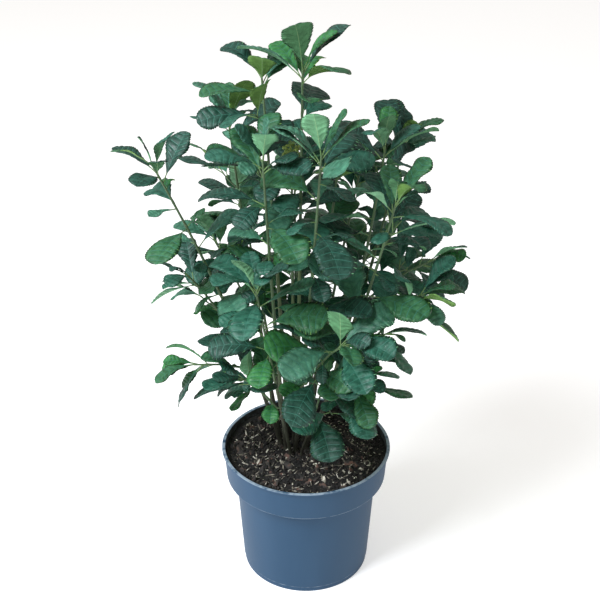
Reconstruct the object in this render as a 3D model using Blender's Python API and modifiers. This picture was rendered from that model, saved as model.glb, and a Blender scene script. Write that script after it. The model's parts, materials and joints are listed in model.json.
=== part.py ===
"""A serviceberry in a round nursery pot.

A clump of slender stems rises from the compost. Each stem is bare at its foot and ends in
a mass of leaves, and short side shoots carry smaller masses lower down. Metres, +Z up,
with the origin at the middle of the pot's underside and the front at -Y.
"""

import math
import random
from collections import namedtuple

import bmesh
import bpy
from mathutils import Quaternion, Vector
from mathutils.bvhtree import BVHTree

MM = 0.001
GAP = 0.3 * MM

# Pot
POT_HEIGHT = 183 * MM
LIP_RADIUS = 112.5 * MM
LIP_HEIGHT = 2.5 * MM
COLLAR_TOP_RADIUS = 110 * MM
COLLAR_FOOT_RADIUS = 107 * MM
COLLAR_FOOT_HEIGHT = 140.7 * MM
SHOULDER_RADIUS = 94.6 * MM
BODY_FOOT_RADIUS = 86.5 * MM
FOOT_HEIGHT = 8 * MM
FOOT_INSET = 0.9 * MM
POT_WALL = 1.8 * MM
FLOOR_THICKNESS = 2.4 * MM
FLOOR_RISE = 3 * MM
FOOT_RING_WIDTH = 9 * MM
CENTRE_PAD_RADIUS = 26 * MM
DRAIN_HOLES = 8
DRAIN_HOLE_RADIUS = 5 * MM
DRAIN_CIRCLE_RADIUS = 50 * MM
POT_STEPS = 40

# Compost
SOIL_TOP = 171 * MM
SOIL_EDGE_DROP = 3.5 * MM
SOIL_FLAT_RADIUS = 55 * MM

# Stems: the radius at the foot and at the tip of a stem as long as FULL_STEM
STEM_FOOT_RADIUS = 3.0 * MM
STEM_TIP_RADIUS = 1.2 * MM
FULL_STEM = 480 * MM
ROOT_FLARE = 1.45
FLARE_HEIGHT = 5 * MM
SHOOT_RADIUS = 1.5 * MM
SHOOT_RISE = 0.12
JOINT_LENGTH = 3 * MM
LIMB_SEGMENTS = 5
MASS_SEGMENTS = 5
SHOOT_SEGMENTS = 3

# Leaves: the stalk and the blade together are one length
LEAF_LENGTH = 80 * MM
LEAF_WIDTH = 38.5 * MM
LEAF_THICKNESS = 1.5 * MM
STALK_WIDTH = 1.2 * MM
STALK_SHARE = 0.17
BLADE_RISE = 1.25
BLADE_FALL = 0.50
LEAF_STEPS = 12
LEAF_SECTIONS = (6, 10)
CLEARANCE = 0.6 * MM

# Leaf order round a stem, and how far apart leaves stand along it
GOLDEN_TURN = math.radians(137.5)
ROSETTE = (0, 5, 10, 16, 24)
INTERNODE = 35 * MM
SPUR_CHANCE = 0.3
SPUR_LENGTH = 26 * MM
SPUR_RADIUS = 1.0 * MM
SPUR_LEAVES = 3
SPUR_RISE = 0.2
SPUR_KNEE = 0.6
SPUR_LEAF_SIZE = 1.05

# Leaves at a tip: angle from the stem in degrees and size, each with its step to the next
TIP_STEEPNESS = (22, 9)
TIP_STEEPNESS_FAULT = 6
TIP_SIZE = (0.84, 0.04)
TIP_ROUNDNESS = 0.95
TIP_END = 1.5 * MM

# Leaves down the sides of a stem
SIDE_STEEPNESS = (52, 72)
SIDE_SIZE = (0.95, 1.15)
SIDE_ROUNDNESS = 1.1
SIDE_SPACING = (0.8, 1.2)
SIDE_START = 8 * MM
SKYWARD = 0.4

# A leaf that has no room is turned and shrunk a little at each try
TRIES = 8
SWING = math.radians(12)
SHRINK = 0.03

# Faults of single leaves: roll in radians, how far the tip bends down, share of the width
ROLL = 0.22
DROOP = (0.25, 1.0)
BREADTH = (0.92, 1.08)

# Bud clusters at the tips of two stems
BUD_CLUSTER_RADIUS = 14 * MM

Cane = namedtuple("Cane", "name foot tip lean bare size seeds")
Shoot = namedtuple("Shoot", "name parent height tip size seeds")
Leaf = namedtuple("Leaf", "base direction up length width droop")

# Each stem: foot on the compost, tip, share of its sideways reach taken by half its
# height, share that is bare, leaf size, and the seeds of its tip and of its side leaves. Millimetres.
CANES = (
    Cane("front", (-14, -3), (15, -95, 626), 0.60, 0.46, 1.0, (258, 92)),
    Cane("front_left", (-27, 2), (-49, -75, 613), 0.60, 0.47, 1.0, (170, 320)),
    Cane("right_front", (0, 4), (98, -85, 564), 0.62, 0.50, 1.0, (252, 355)),
    Cane("left_arm", (-35, 15), (-175, -40, 593), 0.36, 0.52, 0.86, (147, 60)),
    Cane("low_front_left", (-21, -10), (-59, -86, 457), 0.50, 0.50, 1.1, (341, 284)),
    Cane("low_front", (-6, -11), (22, -62, 317), 0.50, 0.45, 0.95, (84, 170)),
    Cane("right", (9, 17), (93, 20, 593), 0.72, 0.50, 1.0, (249, 4)),
    Cane("top", (-12, 31), (-5, 10, 690), 0.50, 0.50, 1.15, (230, 8)),
    Cane("left_top", (-24, 31), (-52, 15, 684), 0.40, 0.50, 0.95, (336, 236)),
    Cane("left_back", (-36, 30), (-96, 80, 610), 0.60, 0.48, 0.95, (130, 200)),
    Cane("right_top", (12, 28), (120, 80, 574), 0.62, 0.50, 0.95, (206, 35)),
    Cane("bud_left", (-16, 17), (-18, 30, 572), 0.50, 0.55, 0.9, (146, 326)),
    Cane("bud_right", (-4, 20), (38, 40, 562), 0.55, 0.55, 0.9, (69, 150)),
    Cane("right_dark", (3, 37), (71, 120, 533), 0.40, 0.50, 1.0, (122, 346)),
    Cane("back", (-12, 44), (-15, 140, 500), 0.50, 0.48, 1.0, (223, 40)),
    Cane("back_left", (-27, 44), (-85, 130, 480), 0.50, 0.48, 1.0, (137, 109)),
    Cane("back_right", (-2, 50), (65, 135, 490), 0.50, 0.48, 1.0, (200, 65)),
)

# Each side shoot: the stem that it leaves, at which height, its tip, leaf size and seeds
SHOOTS = (
    Shoot("left_low", "front_left", 305, (-140, -40, 330), 0.85, (295, 277)),
    Shoot("right_low", "right_front", 300, (135, -60, 438), 0.95, (276, 71)),
    Shoot("centre_front", "front", 300, (42, -105, 395), 1.1, (284, 349)),
    Shoot("left_side", "left_arm", 350, (-145, -12, 440), 0.8, (132, 254)),
    Shoot("left_foot", "left_back", 245, (-78, 18, 268), 0.7, (120, 0)),
    Shoot("right_side", "right_top", 370, (160, 50, 430), 0.9, (260, 4)),
    Shoot("right_foot", "right", 300, (88, -5, 350), 1.0, (121, 68)),
    Shoot("left_middle", "left_back", 340, (-118, 70, 450), 0.95, (320, 223)),
    Shoot("left_inner", "low_front_left", 262, (-80, -52, 318), 1.0, (242, 82)),
    Shoot("right_inner", "right_front", 255, (62, -72, 322), 1.05, (167, 210)),
    Shoot("back_foot", "back", 300, (-20, 130, 380), 1.0, (307, 49)),
    Shoot("back_side", "right_dark", 320, (85, 130, 400), 1.0, (140, 301)),
    Shoot("back_low", "back_left", 320, (-90, 120, 390), 1.0, (253, 337)),
)

POT_COLOUR = (0.075, 0.125, 0.175)
SOIL_COLOUR = (0.022, 0.016, 0.011)
STEM_COLOUR = (0.10, 0.085, 0.05)
LEAF_COLOUR = (0.035, 0.11, 0.065)


def clear_scene():
    for thing in list(bpy.data.objects):
        bpy.data.objects.remove(thing, do_unlink=True)


def make_material(name, colour, roughness):
    material = bpy.data.materials.new(name)
    material.use_nodes = True
    shader = material.node_tree.nodes["Principled BSDF"]
    shader.inputs["Base Color"].default_value = (*colour, 1)
    shader.inputs["Roughness"].default_value = roughness
    shader.inputs["Metallic"].default_value = 0
    return material


def make_collection(name):
    collection = bpy.data.collections.new(name)
    bpy.context.scene.collection.children.link(collection)
    return collection


def add_object(name, data, collection):
    thing = bpy.data.objects.new(name, data)
    collection.objects.link(thing)
    return thing


def evaluated_mesh(thing):
    graph = bpy.context.evaluated_depsgraph_get()
    return bpy.data.meshes.new_from_object(thing.evaluated_get(graph))


def turned(name, profile, collection):
    """A shape turned about Z, from a profile at +X that runs down its outer side."""
    mesh = bpy.data.meshes.new(name)
    edges = [(i, i + 1) for i in range(len(profile) - 1)]
    mesh.from_pydata([(radius, 0, height) for radius, height in profile], edges, [])
    thing = add_object(name, mesh, collection)
    screw = thing.modifiers.new("Turn", "SCREW")
    screw.steps = screw.render_steps = POT_STEPS
    screw.use_merge_vertices = True
    screw.merge_threshold = 0.01 * MM
    screw.use_smooth_shade = True
    return thing


def wall_profile(inset, top, bottom):
    """(radius, height) down the pot's wall from top to bottom, set in by the inset."""
    step = COLLAR_FOOT_HEIGHT + inset
    collar = (COLLAR_TOP_RADIUS - COLLAR_FOOT_RADIUS) / (POT_HEIGHT - COLLAR_FOOT_HEIGHT)
    body = (SHOULDER_RADIUS - BODY_FOOT_RADIUS) / (COLLAR_FOOT_HEIGHT - FOOT_HEIGHT)
    return [
        (COLLAR_FOOT_RADIUS + collar * (top - COLLAR_FOOT_HEIGHT) - inset, top),
        (COLLAR_FOOT_RADIUS + collar * (step - COLLAR_FOOT_HEIGHT) - inset, step),
        (SHOULDER_RADIUS + body * (step - COLLAR_FOOT_HEIGHT) - inset, step),
        (BODY_FOOT_RADIUS + body * (bottom - FOOT_HEIGHT) - inset, bottom),
    ]


def build_pot(collection, cutters, material):
    foot_radius = BODY_FOOT_RADIUS - FOOT_INSET
    floor_top = FLOOR_RISE + FLOOR_THICKNESS
    outside = [
        (LIP_RADIUS, POT_HEIGHT - 0.6 * MM),
        (LIP_RADIUS, POT_HEIGHT - LIP_HEIGHT),
        *wall_profile(0, POT_HEIGHT - LIP_HEIGHT - 0.4 * MM, FOOT_HEIGHT),
        (foot_radius, FOOT_HEIGHT - 1 * MM),
        (foot_radius - 0.3 * MM, 1.5 * MM),
        (foot_radius - 1.6 * MM, 0),
        (foot_radius - FOOT_RING_WIDTH, 0),
        (foot_radius - FOOT_RING_WIDTH - 1 * MM, FLOOR_RISE),
        (CENTRE_PAD_RADIUS + 1 * MM, FLOOR_RISE),
        (CENTRE_PAD_RADIUS, 0),
        (0, 0),
    ]
    inside = wall_profile(POT_WALL, POT_HEIGHT, floor_top)
    top = (LIP_RADIUS - 0.6 * MM, POT_HEIGHT)
    pot = turned("pot", [top, *outside, (0, floor_top), *reversed(inside), top], collection)
    pot.data.materials.append(material)
    for hole in range(DRAIN_HOLES):
        angle = math.tau * (hole + 0.5) / DRAIN_HOLES
        mesh = bpy.data.meshes.new("drain_hole")
        shape = bmesh.new()
        bmesh.ops.create_cone(
            shape,
            cap_ends=True,
            segments=8,
            radius1=DRAIN_HOLE_RADIUS,
            radius2=DRAIN_HOLE_RADIUS,
            depth=4 * floor_top,
        )
        shape.to_mesh(mesh)
        shape.free()
        cutter = add_object(f"drain_hole_{hole + 1}", mesh, cutters)
        cutter.location = (
            DRAIN_CIRCLE_RADIUS * math.cos(angle),
            DRAIN_CIRCLE_RADIUS * math.sin(angle),
            floor_top / 2,
        )
        cutter.hide_render = True
        cutter.display_type = "WIRE"
    cut = pot.modifiers.new("Drain holes", "BOOLEAN")
    cut.operation = "DIFFERENCE"
    cut.operand_type = "COLLECTION"
    cut.collection = cutters
    return pot


def build_soil(collection, material):
    inset = POT_WALL + GAP
    bottom = FLOOR_RISE + FLOOR_THICKNESS + GAP
    wall = wall_profile(inset, SOIL_TOP - SOIL_EDGE_DROP, bottom)
    profile = [(0, SOIL_TOP), (SOIL_FLAT_RADIUS, SOIL_TOP), *wall, (0, bottom)]
    soil = turned("soil", profile, collection)
    soil.data.materials.append(material)
    return soil


class Path:
    """A tapering stem's middle line: points with radii, and places along it by distance."""

    def __init__(self, points, radii):
        self.points = points
        self.radii = radii
        self.length = sum((b - a).length for a, b in zip(points, points[1:]))

    def at(self, distance):
        """Point, tangent and radius at a distance along the path."""
        left = distance
        for i, (a, b) in enumerate(zip(self.points, self.points[1:])):
            span = (b - a).length
            if left <= span or i == len(self.points) - 2:
                share = left / span
                radius = self.radii[i] + (self.radii[i + 1] - self.radii[i]) * share
                return a.lerp(b, share), (b - a).normalized(), radius
            left -= span


def arc(start, knee, end, share):
    """A point on the curve that leaves start towards knee and comes to end."""
    return start.lerp(knee, share).lerp(knee.lerp(end, share), share)


def stem_radius(length_left):
    share = min(1.0, max(0.0, length_left / FULL_STEM))
    return STEM_TIP_RADIUS + (STEM_FOOT_RADIUS - STEM_TIP_RADIUS) * share


def cane_paths(cane):
    """The bare limb of a cane, and the stem of its mass, with a gap between them."""
    foot = Vector((cane.foot[0] * MM, cane.foot[1] * MM, SOIL_TOP + GAP))
    tip = Vector(cane.tip) * MM
    knee = foot.lerp(tip, 0.5)
    knee.x = foot.x + (tip.x - foot.x) * cane.lean
    knee.y = foot.y + (tip.y - foot.y) * cane.lean
    length = (tip - foot).length
    start = foot + Vector((0, 0, FLARE_HEIGHT))

    def stretch(first, last, segments):
        shares = [first + (last - first) * i / segments for i in range(segments + 1)]
        return [arc(start, knee, tip, s) for s in shares], [stem_radius(length * (1 - s)) for s in shares]

    limb_points, limb_radii = stretch(0, cane.bare, LIMB_SEGMENTS)
    mass_points, mass_radii = stretch(cane.bare, 1, MASS_SEGMENTS)
    along = (limb_points[-1] - limb_points[-2]).normalized()
    mass_points[0] = limb_points[-1] + along * GAP
    mass_points.insert(1, mass_points[0] + along * JOINT_LENGTH)
    mass_radii.insert(1, mass_radii[0])
    limb = Path([foot, *limb_points], [limb_radii[0] * ROOT_FLARE, *limb_radii])
    return limb, Path(mass_points, mass_radii)


def shoot_path(shoot, limb):
    """The stem of a side shoot, which starts square to its limb, with a gap to it."""
    low = limb.points[0].z
    share = (shoot.height * MM - low) / (limb.points[-1].z - low)
    centre, along, radius = limb.at(limb.length * share)
    tip = Vector(shoot.tip) * MM
    out = tip - centre
    out = (out - along * out.dot(along)).normalized()
    start = centre + out * (radius + GAP)
    second = start + out * JOINT_LENGTH
    knee = second.lerp(tip, 0.5) + Vector((0, 0, SHOOT_RISE * (tip - second).length))
    steps = SHOOT_SEGMENTS
    points = [start, *(arc(second, knee, tip, i / steps) for i in range(steps + 1))]
    radii = [SHOOT_RADIUS + (STEM_TIP_RADIUS - SHOOT_RADIUS) * i / steps for i in range(steps + 1)]
    return Path(points, [SHOOT_RADIUS, *radii])


def tube(name, path, resolution, collection):
    """A closed tapering tube along a path, as a mesh whose caps are welded on."""
    curve = bpy.data.curves.new(name, "CURVE")
    curve.dimensions = "3D"
    curve.bevel_depth = 1
    curve.bevel_resolution = resolution
    curve.use_fill_caps = True
    spline = curve.splines.new("POLY")
    spline.points.add(len(path.points) - 1)
    for place, point, radius in zip(spline.points, path.points, path.radii):
        place.co = (*point, 1)
        place.radius = radius
    line = add_object(name + "_line", curve, collection)
    mesh = evaluated_mesh(line)
    shape = bmesh.new()
    shape.from_mesh(mesh)
    bmesh.ops.remove_doubles(shape, verts=shape.verts, dist=0.001 * MM)
    shape.to_mesh(mesh)
    shape.free()
    tube_object = add_object(name, mesh, collection)
    tube_object.matrix_world = line.matrix_world
    bpy.data.objects.remove(line)
    return tube_object


def perpendicular(vector, axis):
    return (vector - axis * vector.dot(axis)).normalized()


def midrib(leaf):
    """Points, directions and upper normals in even steps along a leaf that bends down."""
    point = leaf.base.copy()
    places = []
    for step in range(LEAF_STEPS + 1):
        share = step / LEAF_STEPS
        along = (leaf.direction + Vector((0, 0, -leaf.droop * share))).normalized()
        places.append((point.copy(), along, perpendicular(leaf.up, along)))
        point += along * leaf.length / LEAF_STEPS
    return places


def blade_share(step):
    """Half the blade's width at a step along the leaf, as a share of its widest."""
    along = max(0.0, (step / LEAF_STEPS - STALK_SHARE) / (1 - STALK_SHARE))
    widest = BLADE_RISE / (BLADE_RISE + BLADE_FALL)
    top = widest**BLADE_RISE * (1 - widest) ** BLADE_FALL
    return along**BLADE_RISE * (1 - along) ** BLADE_FALL / top


def leaf_shape(leaf, margin=0.0, stalk=True):
    """Points and faces of a leaf: a keeled blade lofted from its stalk to its tip."""
    places = midrib(leaf)
    first = (0, STALK_WIDTH / 2, STALK_WIDTH / 2) if stalk else (3, leaf.width / 10, LEAF_THICKNESS)
    sections = [first]
    for step in LEAF_SECTIONS:
        sections.append((step, blade_share(step) * leaf.width / 2, LEAF_THICKNESS))
    points = []
    for step, width, depth in sections:
        centre, along, normal = places[step]
        across = along.cross(normal) * (width + 2 * margin)
        rise = normal * (depth / 2 + margin)
        points += [centre - across + rise, centre + across + rise, centre - rise]
    points.append(places[-1][0] + places[-1][1] * 2 * margin)
    faces = [(2, 1, 0)]
    for ring in range(0, 3 * (len(sections) - 1), 3):
        for i in range(3):
            j = (i + 1) % 3
            faces += [(ring + i, ring + j, ring + 3 + j), (ring + i, ring + 3 + j, ring + 3 + i)]
    last = 3 * (len(sections) - 1)
    tip = len(points) - 1
    faces += [(last + i, last + (i + 1) % 3, tip) for i in range(3)]
    return points, faces


class Solid:
    """A surface with its box, to test whether others touch it."""

    def __init__(self, points, faces):
        self.points = points
        self.faces = faces
        self.low = [min(p[i] for p in points) for i in range(3)]
        self.high = [max(p[i] for p in points) for i in range(3)]
        self.made = None

    def tree(self):
        if self.made is None:
            self.made = BVHTree.FromPolygons(self.points, self.faces)
        return self.made

    def touches(self, other):
        low, high = self.low, self.high
        if any(low[i] > other.high[i] or other.low[i] > high[i] for i in range(3)):
            return False
        return bool(self.tree().overlap(other.tree()))


def solid_of(thing):
    mesh = evaluated_mesh(thing)
    points = [thing.matrix_world @ vertex.co for vertex in mesh.vertices]
    faces = [tuple(polygon.vertices) for polygon in mesh.polygons]
    bpy.data.meshes.remove(mesh)
    return Solid(points, faces)


def heading(along, azimuth, steepness):
    """The direction that leaves a stem's direction at an angle, turned round it."""
    turn = Vector((0, 0, 1)).rotation_difference(along)
    outward = turn @ Vector((math.cos(azimuth), math.sin(azimuth), 0))
    return (along * math.cos(steepness) + outward * math.sin(steepness)).normalized()


def make_leaf(path, distance, azimuth, steepness, size, roundness, faults):
    """A leaf that leaves a stem at an angle from its direction, with its own small faults."""
    centre, along, _ = path.at(distance)
    direction = heading(along, azimuth, steepness)
    up = perpendicular(along * SKYWARD + Vector((0, 0, 1)), direction)
    roll, droop, breadth = faults
    return Leaf(
        base=centre,
        direction=direction,
        up=Quaternion(direction, roll) @ up,
        length=LEAF_LENGTH * size,
        width=LEAF_WIDTH * size * roundness * breadth,
        droop=droop,
    )


def sleeve(path):
    """A three-sided sleeve round a twig, a little wider than the twig."""
    turn = Vector((0, 0, 1)).rotation_difference((path.points[-1] - path.points[0]).normalized())
    points = []
    for point, radius in zip(path.points, path.radii):
        for i in range(3):
            angle = math.tau * i / 3
            ring = Vector((math.cos(angle), math.sin(angle), 0)) * (radius * 1.4 + CLEARANCE)
            points.append(point + turn @ ring)
    faces = []
    for ring in range(0, 3 * (len(path.points) - 1), 3):
        for i in range(3):
            j = (i + 1) % 3
            faces += [(ring + i, ring + j, ring + 3 + j), (ring + i, ring + 3 + j, ring + 3 + i)]
    return Solid(points, faces)


class Mass:
    """The twigs and leaves that grow from one stem."""

    def __init__(self, name, path, size, seeds, has_buds=False):
        self.name = name
        self.path = path
        self.size = size
        self.seeds = seeds
        self.has_buds = has_buds
        self.twigs = []
        self.leaves = []
        self.stems = [sleeve(path)]
        self.blades = []
        self.solids = []
        if has_buds:
            self.stems.append(Solid(*self.bud_shape(CLEARANCE)))

    def pieces(self):
        return self.stems + self.solids

    def bud_shape(self, margin=0.0):
        """Points and faces of the cluster of buds that stands on the tip of the stem."""
        shape = bmesh.new()
        radius = BUD_CLUSTER_RADIUS + margin
        centre = self.path.points[-1] + Vector((0, 0, 0.8 * BUD_CLUSTER_RADIUS))
        bmesh.ops.create_icosphere(shape, subdivisions=1, radius=radius)
        points = [vertex.co + centre for vertex in shape.verts]
        faces = [tuple(vertex.index for vertex in face.verts) for face in shape.faces]
        shape.free()
        return points, faces


def clear_outside(solid, mass, masses, fixed):
    """Whether a new piece of a mass keeps clear of the limbs, the pot and other masses."""
    if any(solid.touches(other) for other in fixed):
        return False
    others = (piece for other in masses if other is not mass for piece in other.pieces())
    return not any(solid.touches(piece) for piece in others)


def try_leaf(mass, path, distance, azimuth, steepness, size, roundness, draw, masses, fixed):
    """Places a leaf, turned a little further at each try, or leaves it out."""
    faults = (draw.gauss(0, ROLL), draw.uniform(*DROOP), draw.uniform(*BREADTH))
    for attempt in range(TRIES):
        turn = azimuth + SWING * ((attempt + 1) // 2) * (-1) ** attempt
        scale = size * (1 - SHRINK * attempt)
        leaf = make_leaf(path, distance, turn, steepness, scale, roundness, faults)
        blade = Solid(*leaf_shape(leaf, CLEARANCE, stalk=False))
        if any(blade.touches(own) for own in mass.blades + mass.stems):
            continue
        if clear_outside(Solid(*leaf_shape(leaf, CLEARANCE)), mass, masses, fixed):
            mass.leaves.append(leaf)
            mass.solids.append(Solid(*leaf_shape(leaf)))
            mass.blades.append(Solid(*leaf_shape(leaf, stalk=False)))
            return


def grow_rosette(mass, path, azimuth, size, places, draw, masses, fixed):
    """Leaves packed at a tip, steeper and smaller towards the end."""
    for i, back in enumerate(places):
        distance = path.length - TIP_END - back * MM
        fault = draw.uniform(-TIP_STEEPNESS_FAULT, TIP_STEEPNESS_FAULT)
        steepness = math.radians(TIP_STEEPNESS[0] + TIP_STEEPNESS[1] * i + fault)
        scale = size * (TIP_SIZE[0] + TIP_SIZE[1] * i)
        turn = azimuth + GOLDEN_TURN * i
        try_leaf(mass, path, distance, turn, steepness, scale, TIP_ROUNDNESS, draw, masses, fixed)


def grow_spur(mass, distance, azimuth, steepness, draw, masses, fixed):
    """A short twig with a few leaves at its tip, or False where it has no room."""
    centre, along, _ = mass.path.at(distance)
    direction = heading(along, azimuth, steepness)
    tip = centre + (direction + Vector((0, 0, SPUR_RISE))) * SPUR_LENGTH
    knee = centre + direction * SPUR_LENGTH * SPUR_KNEE
    points = [arc(centre, knee, tip, share) for share in (0, 0.5, 1)]
    twig = Path(points, [SPUR_RADIUS * 1.2, SPUR_RADIUS, SPUR_RADIUS * 0.8])
    if not clear_outside(sleeve(twig), mass, masses, fixed):
        return False
    mass.twigs.append(twig)
    mass.stems.append(sleeve(twig))
    places = ROSETTE[:SPUR_LEAVES]
    size = mass.size * SPUR_LEAF_SIZE
    grow_rosette(mass, twig, azimuth, size, places, draw, masses, fixed)
    return True


def grow_tip(mass, masses, fixed):
    draw = random.Random(mass.seeds[0])
    azimuth = draw.uniform(0, math.tau)
    grow_rosette(mass, mass.path, azimuth, mass.size, ROSETTE, draw, masses, fixed)


def grow_sides(mass, masses, fixed):
    """Leaves and spurs in spiral order from below the tip down to the stem's start."""
    draw = random.Random(mass.seeds[1])
    azimuth = draw.uniform(0, math.tau)
    distance = mass.path.length - ROSETTE[-1] * MM - INTERNODE
    while distance > SIDE_START:
        steepness = math.radians(draw.uniform(*SIDE_STEEPNESS))
        size = mass.size * draw.uniform(*SIDE_SIZE)
        spur = draw.random() < SPUR_CHANCE
        own = random.Random(draw.random())
        if not spur or not grow_spur(mass, distance, azimuth, steepness, own, masses, fixed):
            place = (distance, azimuth, steepness, size, SIDE_ROUNDNESS)
            try_leaf(mass, mass.path, *place, own, masses, fixed)
        distance -= INTERNODE * draw.uniform(*SIDE_SPACING)
        azimuth += GOLDEN_TURN


def build_mass(mass, collection, material):
    """One solid: the stem with every twig, leaf and bud cluster of the mass fused on."""
    stem = tube(mass.name, mass.path, 0, collection)
    pieces = make_collection(mass.name + "_pieces")
    for i, twig in enumerate(mass.twigs):
        tube(f"{mass.name}_twig_{i}", twig, 0, pieces)
    for i, leaf in enumerate(mass.leaves):
        points, faces = leaf_shape(leaf)
        mesh = bpy.data.meshes.new("leaf")
        mesh.from_pydata(points, [], faces)
        add_object(f"{mass.name}_leaf_{i}", mesh, pieces)
    if mass.has_buds:
        points, faces = mass.bud_shape()
        mesh = bpy.data.meshes.new("buds")
        mesh.from_pydata(points, [], faces)
        add_object(mass.name + "_buds", mesh, pieces)
    join = stem.modifiers.new("Fuse", "BOOLEAN")
    join.operation = "UNION"
    join.operand_type = "COLLECTION"
    join.collection = pieces
    join.solver = "MANIFOLD"
    fused = evaluated_mesh(stem)
    stem.modifiers.clear()
    stem.data = fused
    for piece in list(pieces.objects):
        bpy.data.objects.remove(piece)
    bpy.data.collections.remove(pieces)
    stem.data.materials.clear()
    stem.data.materials.append(material)
    return stem


def main():
    clear_scene()
    plant = make_collection("potted_serviceberry")
    cutters = make_collection("cutters")
    pot = build_pot(plant, cutters, make_material("pot_plastic", POT_COLOUR, 0.5))
    soil = build_soil(plant, make_material("compost", SOIL_COLOUR, 0.95))
    bark = make_material("bark", STEM_COLOUR, 0.8)
    foliage = make_material("foliage", LEAF_COLOUR, 0.45)

    limbs = {}
    masses = []
    fixed = [solid_of(pot), solid_of(soil)]
    for cane in CANES:
        limb, stem = cane_paths(cane)
        limbs[cane.name] = limb
        has_buds = cane.name.startswith("bud")
        masses.append(Mass(cane.name + "_leaves", stem, cane.size, cane.seeds, has_buds))
    for shoot in SHOOTS:
        stem = shoot_path(shoot, limbs[shoot.parent])
        masses.append(Mass(shoot.name + "_leaves", stem, shoot.size, shoot.seeds))
    for name, limb in limbs.items():
        stem = tube(name + "_stem", limb, 1, plant)
        stem.data.materials.append(bark)
        fixed.append(solid_of(stem))
    for mass in masses:
        grow_tip(mass, masses, fixed)
    for mass in masses:
        grow_sides(mass, masses, fixed)
    for mass in masses:
        build_mass(mass, plant, foliage)
    return masses


if __name__ == "__main__":
    main()
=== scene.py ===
"""Potted serviceberry: pot, compost, stems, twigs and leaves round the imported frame.

Every stem grows its leaves by the rule of the part's source, written again here with the same
seeds, so that each fine leaf lies where the frame has its plain one.
"""

import json
import math
import random
from collections import namedtuple

import bmesh
import bpy
from bpy.props import FloatProperty, FloatVectorProperty, IntProperty, PointerProperty
from bpy.types import Operator, Panel, PropertyGroup
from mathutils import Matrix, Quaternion, Vector, noise
from mathutils.bvhtree import BVHTree

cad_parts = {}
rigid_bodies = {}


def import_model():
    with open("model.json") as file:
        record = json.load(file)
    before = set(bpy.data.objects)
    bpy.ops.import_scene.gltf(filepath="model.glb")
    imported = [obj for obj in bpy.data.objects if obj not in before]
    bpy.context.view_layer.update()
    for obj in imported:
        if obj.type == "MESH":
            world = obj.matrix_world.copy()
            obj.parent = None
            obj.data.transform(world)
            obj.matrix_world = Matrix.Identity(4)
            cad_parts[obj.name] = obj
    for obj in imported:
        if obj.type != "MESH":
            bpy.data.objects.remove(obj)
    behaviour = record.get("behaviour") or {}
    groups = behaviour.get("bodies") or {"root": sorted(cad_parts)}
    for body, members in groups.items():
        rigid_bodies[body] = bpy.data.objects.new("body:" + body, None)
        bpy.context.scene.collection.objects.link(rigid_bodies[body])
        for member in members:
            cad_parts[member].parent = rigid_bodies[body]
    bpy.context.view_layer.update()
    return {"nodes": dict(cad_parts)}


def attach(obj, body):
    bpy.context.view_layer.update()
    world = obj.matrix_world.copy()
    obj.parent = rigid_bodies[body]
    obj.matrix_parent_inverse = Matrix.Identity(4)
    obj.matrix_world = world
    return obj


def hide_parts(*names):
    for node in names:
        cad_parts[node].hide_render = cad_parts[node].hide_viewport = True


bl_info = {
    "name": "Potted serviceberry",
    "version": (1, 0, 0),
    "blender": (4, 5, 0),
    "location": "View3D > Sidebar > Serviceberry",
    "description": "Makes a potted serviceberry shrub with its pot, compost, stems and leaves",
    "category": "Add Mesh",
}

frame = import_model()

MM = 0.001
GAP = 0.3 * MM

# Pot
POT_HEIGHT = 183 * MM
LIP_RADIUS = 112.5 * MM
LIP_HEIGHT = 2.5 * MM
COLLAR_TOP_RADIUS = 110 * MM
COLLAR_FOOT_RADIUS = 107 * MM
COLLAR_FOOT_HEIGHT = 140.7 * MM
SHOULDER_RADIUS = 94.6 * MM
BODY_FOOT_RADIUS = 86.5 * MM
FOOT_HEIGHT = 8 * MM
FOOT_INSET = 0.9 * MM
POT_WALL = 1.8 * MM
FLOOR_THICKNESS = 2.4 * MM
FLOOR_RISE = 3 * MM
FOOT_RING_WIDTH = 9 * MM
CENTRE_PAD_RADIUS = 26 * MM
DRAIN_HOLES = 8
DRAIN_HOLE_RADIUS = 5 * MM
DRAIN_CIRCLE_RADIUS = 50 * MM

# Compost
SOIL_TOP = 171 * MM
SOIL_EDGE_DROP = 3.5 * MM
SOIL_FLAT_RADIUS = 55 * MM

# Stems: the radius at the foot and at the tip of a stem as long as FULL_STEM
STEM_FOOT_RADIUS = 3.0 * MM
STEM_TIP_RADIUS = 1.2 * MM
FULL_STEM = 480 * MM
ROOT_FLARE = 1.45
FLARE_HEIGHT = 5 * MM
SHOOT_RADIUS = 1.5 * MM
SHOOT_RISE = 0.12
JOINT_LENGTH = 3 * MM
LIMB_SEGMENTS = 5
MASS_SEGMENTS = 5
SHOOT_SEGMENTS = 3

# Leaves: the stalk and the blade together are one length
LEAF_LENGTH = 80 * MM
LEAF_WIDTH = 38.5 * MM
LEAF_THICKNESS = 1.5 * MM
STALK_WIDTH = 1.2 * MM
STALK_SHARE = 0.17
BLADE_RISE = 1.25
BLADE_FALL = 0.50
LEAF_STEPS = 12
LEAF_SECTIONS = (6, 10)
CLEARANCE = 0.6 * MM

# Leaf order round a stem, and how far apart leaves stand along it
GOLDEN_TURN = math.radians(137.5)
ROSETTE = (0, 5, 10, 16, 24)
INTERNODE = 35 * MM
SPUR_CHANCE = 0.3
SPUR_LENGTH = 26 * MM
SPUR_RADIUS = 1.0 * MM
SPUR_LEAVES = 3
SPUR_RISE = 0.2
SPUR_KNEE = 0.6
SPUR_LEAF_SIZE = 1.05

# Leaves at a tip: angle from the stem in degrees and size, each with its step to the next
TIP_STEEPNESS = (22, 9)
TIP_STEEPNESS_FAULT = 6
TIP_SIZE = (0.84, 0.04)
TIP_ROUNDNESS = 0.95
TIP_END = 1.5 * MM

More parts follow.
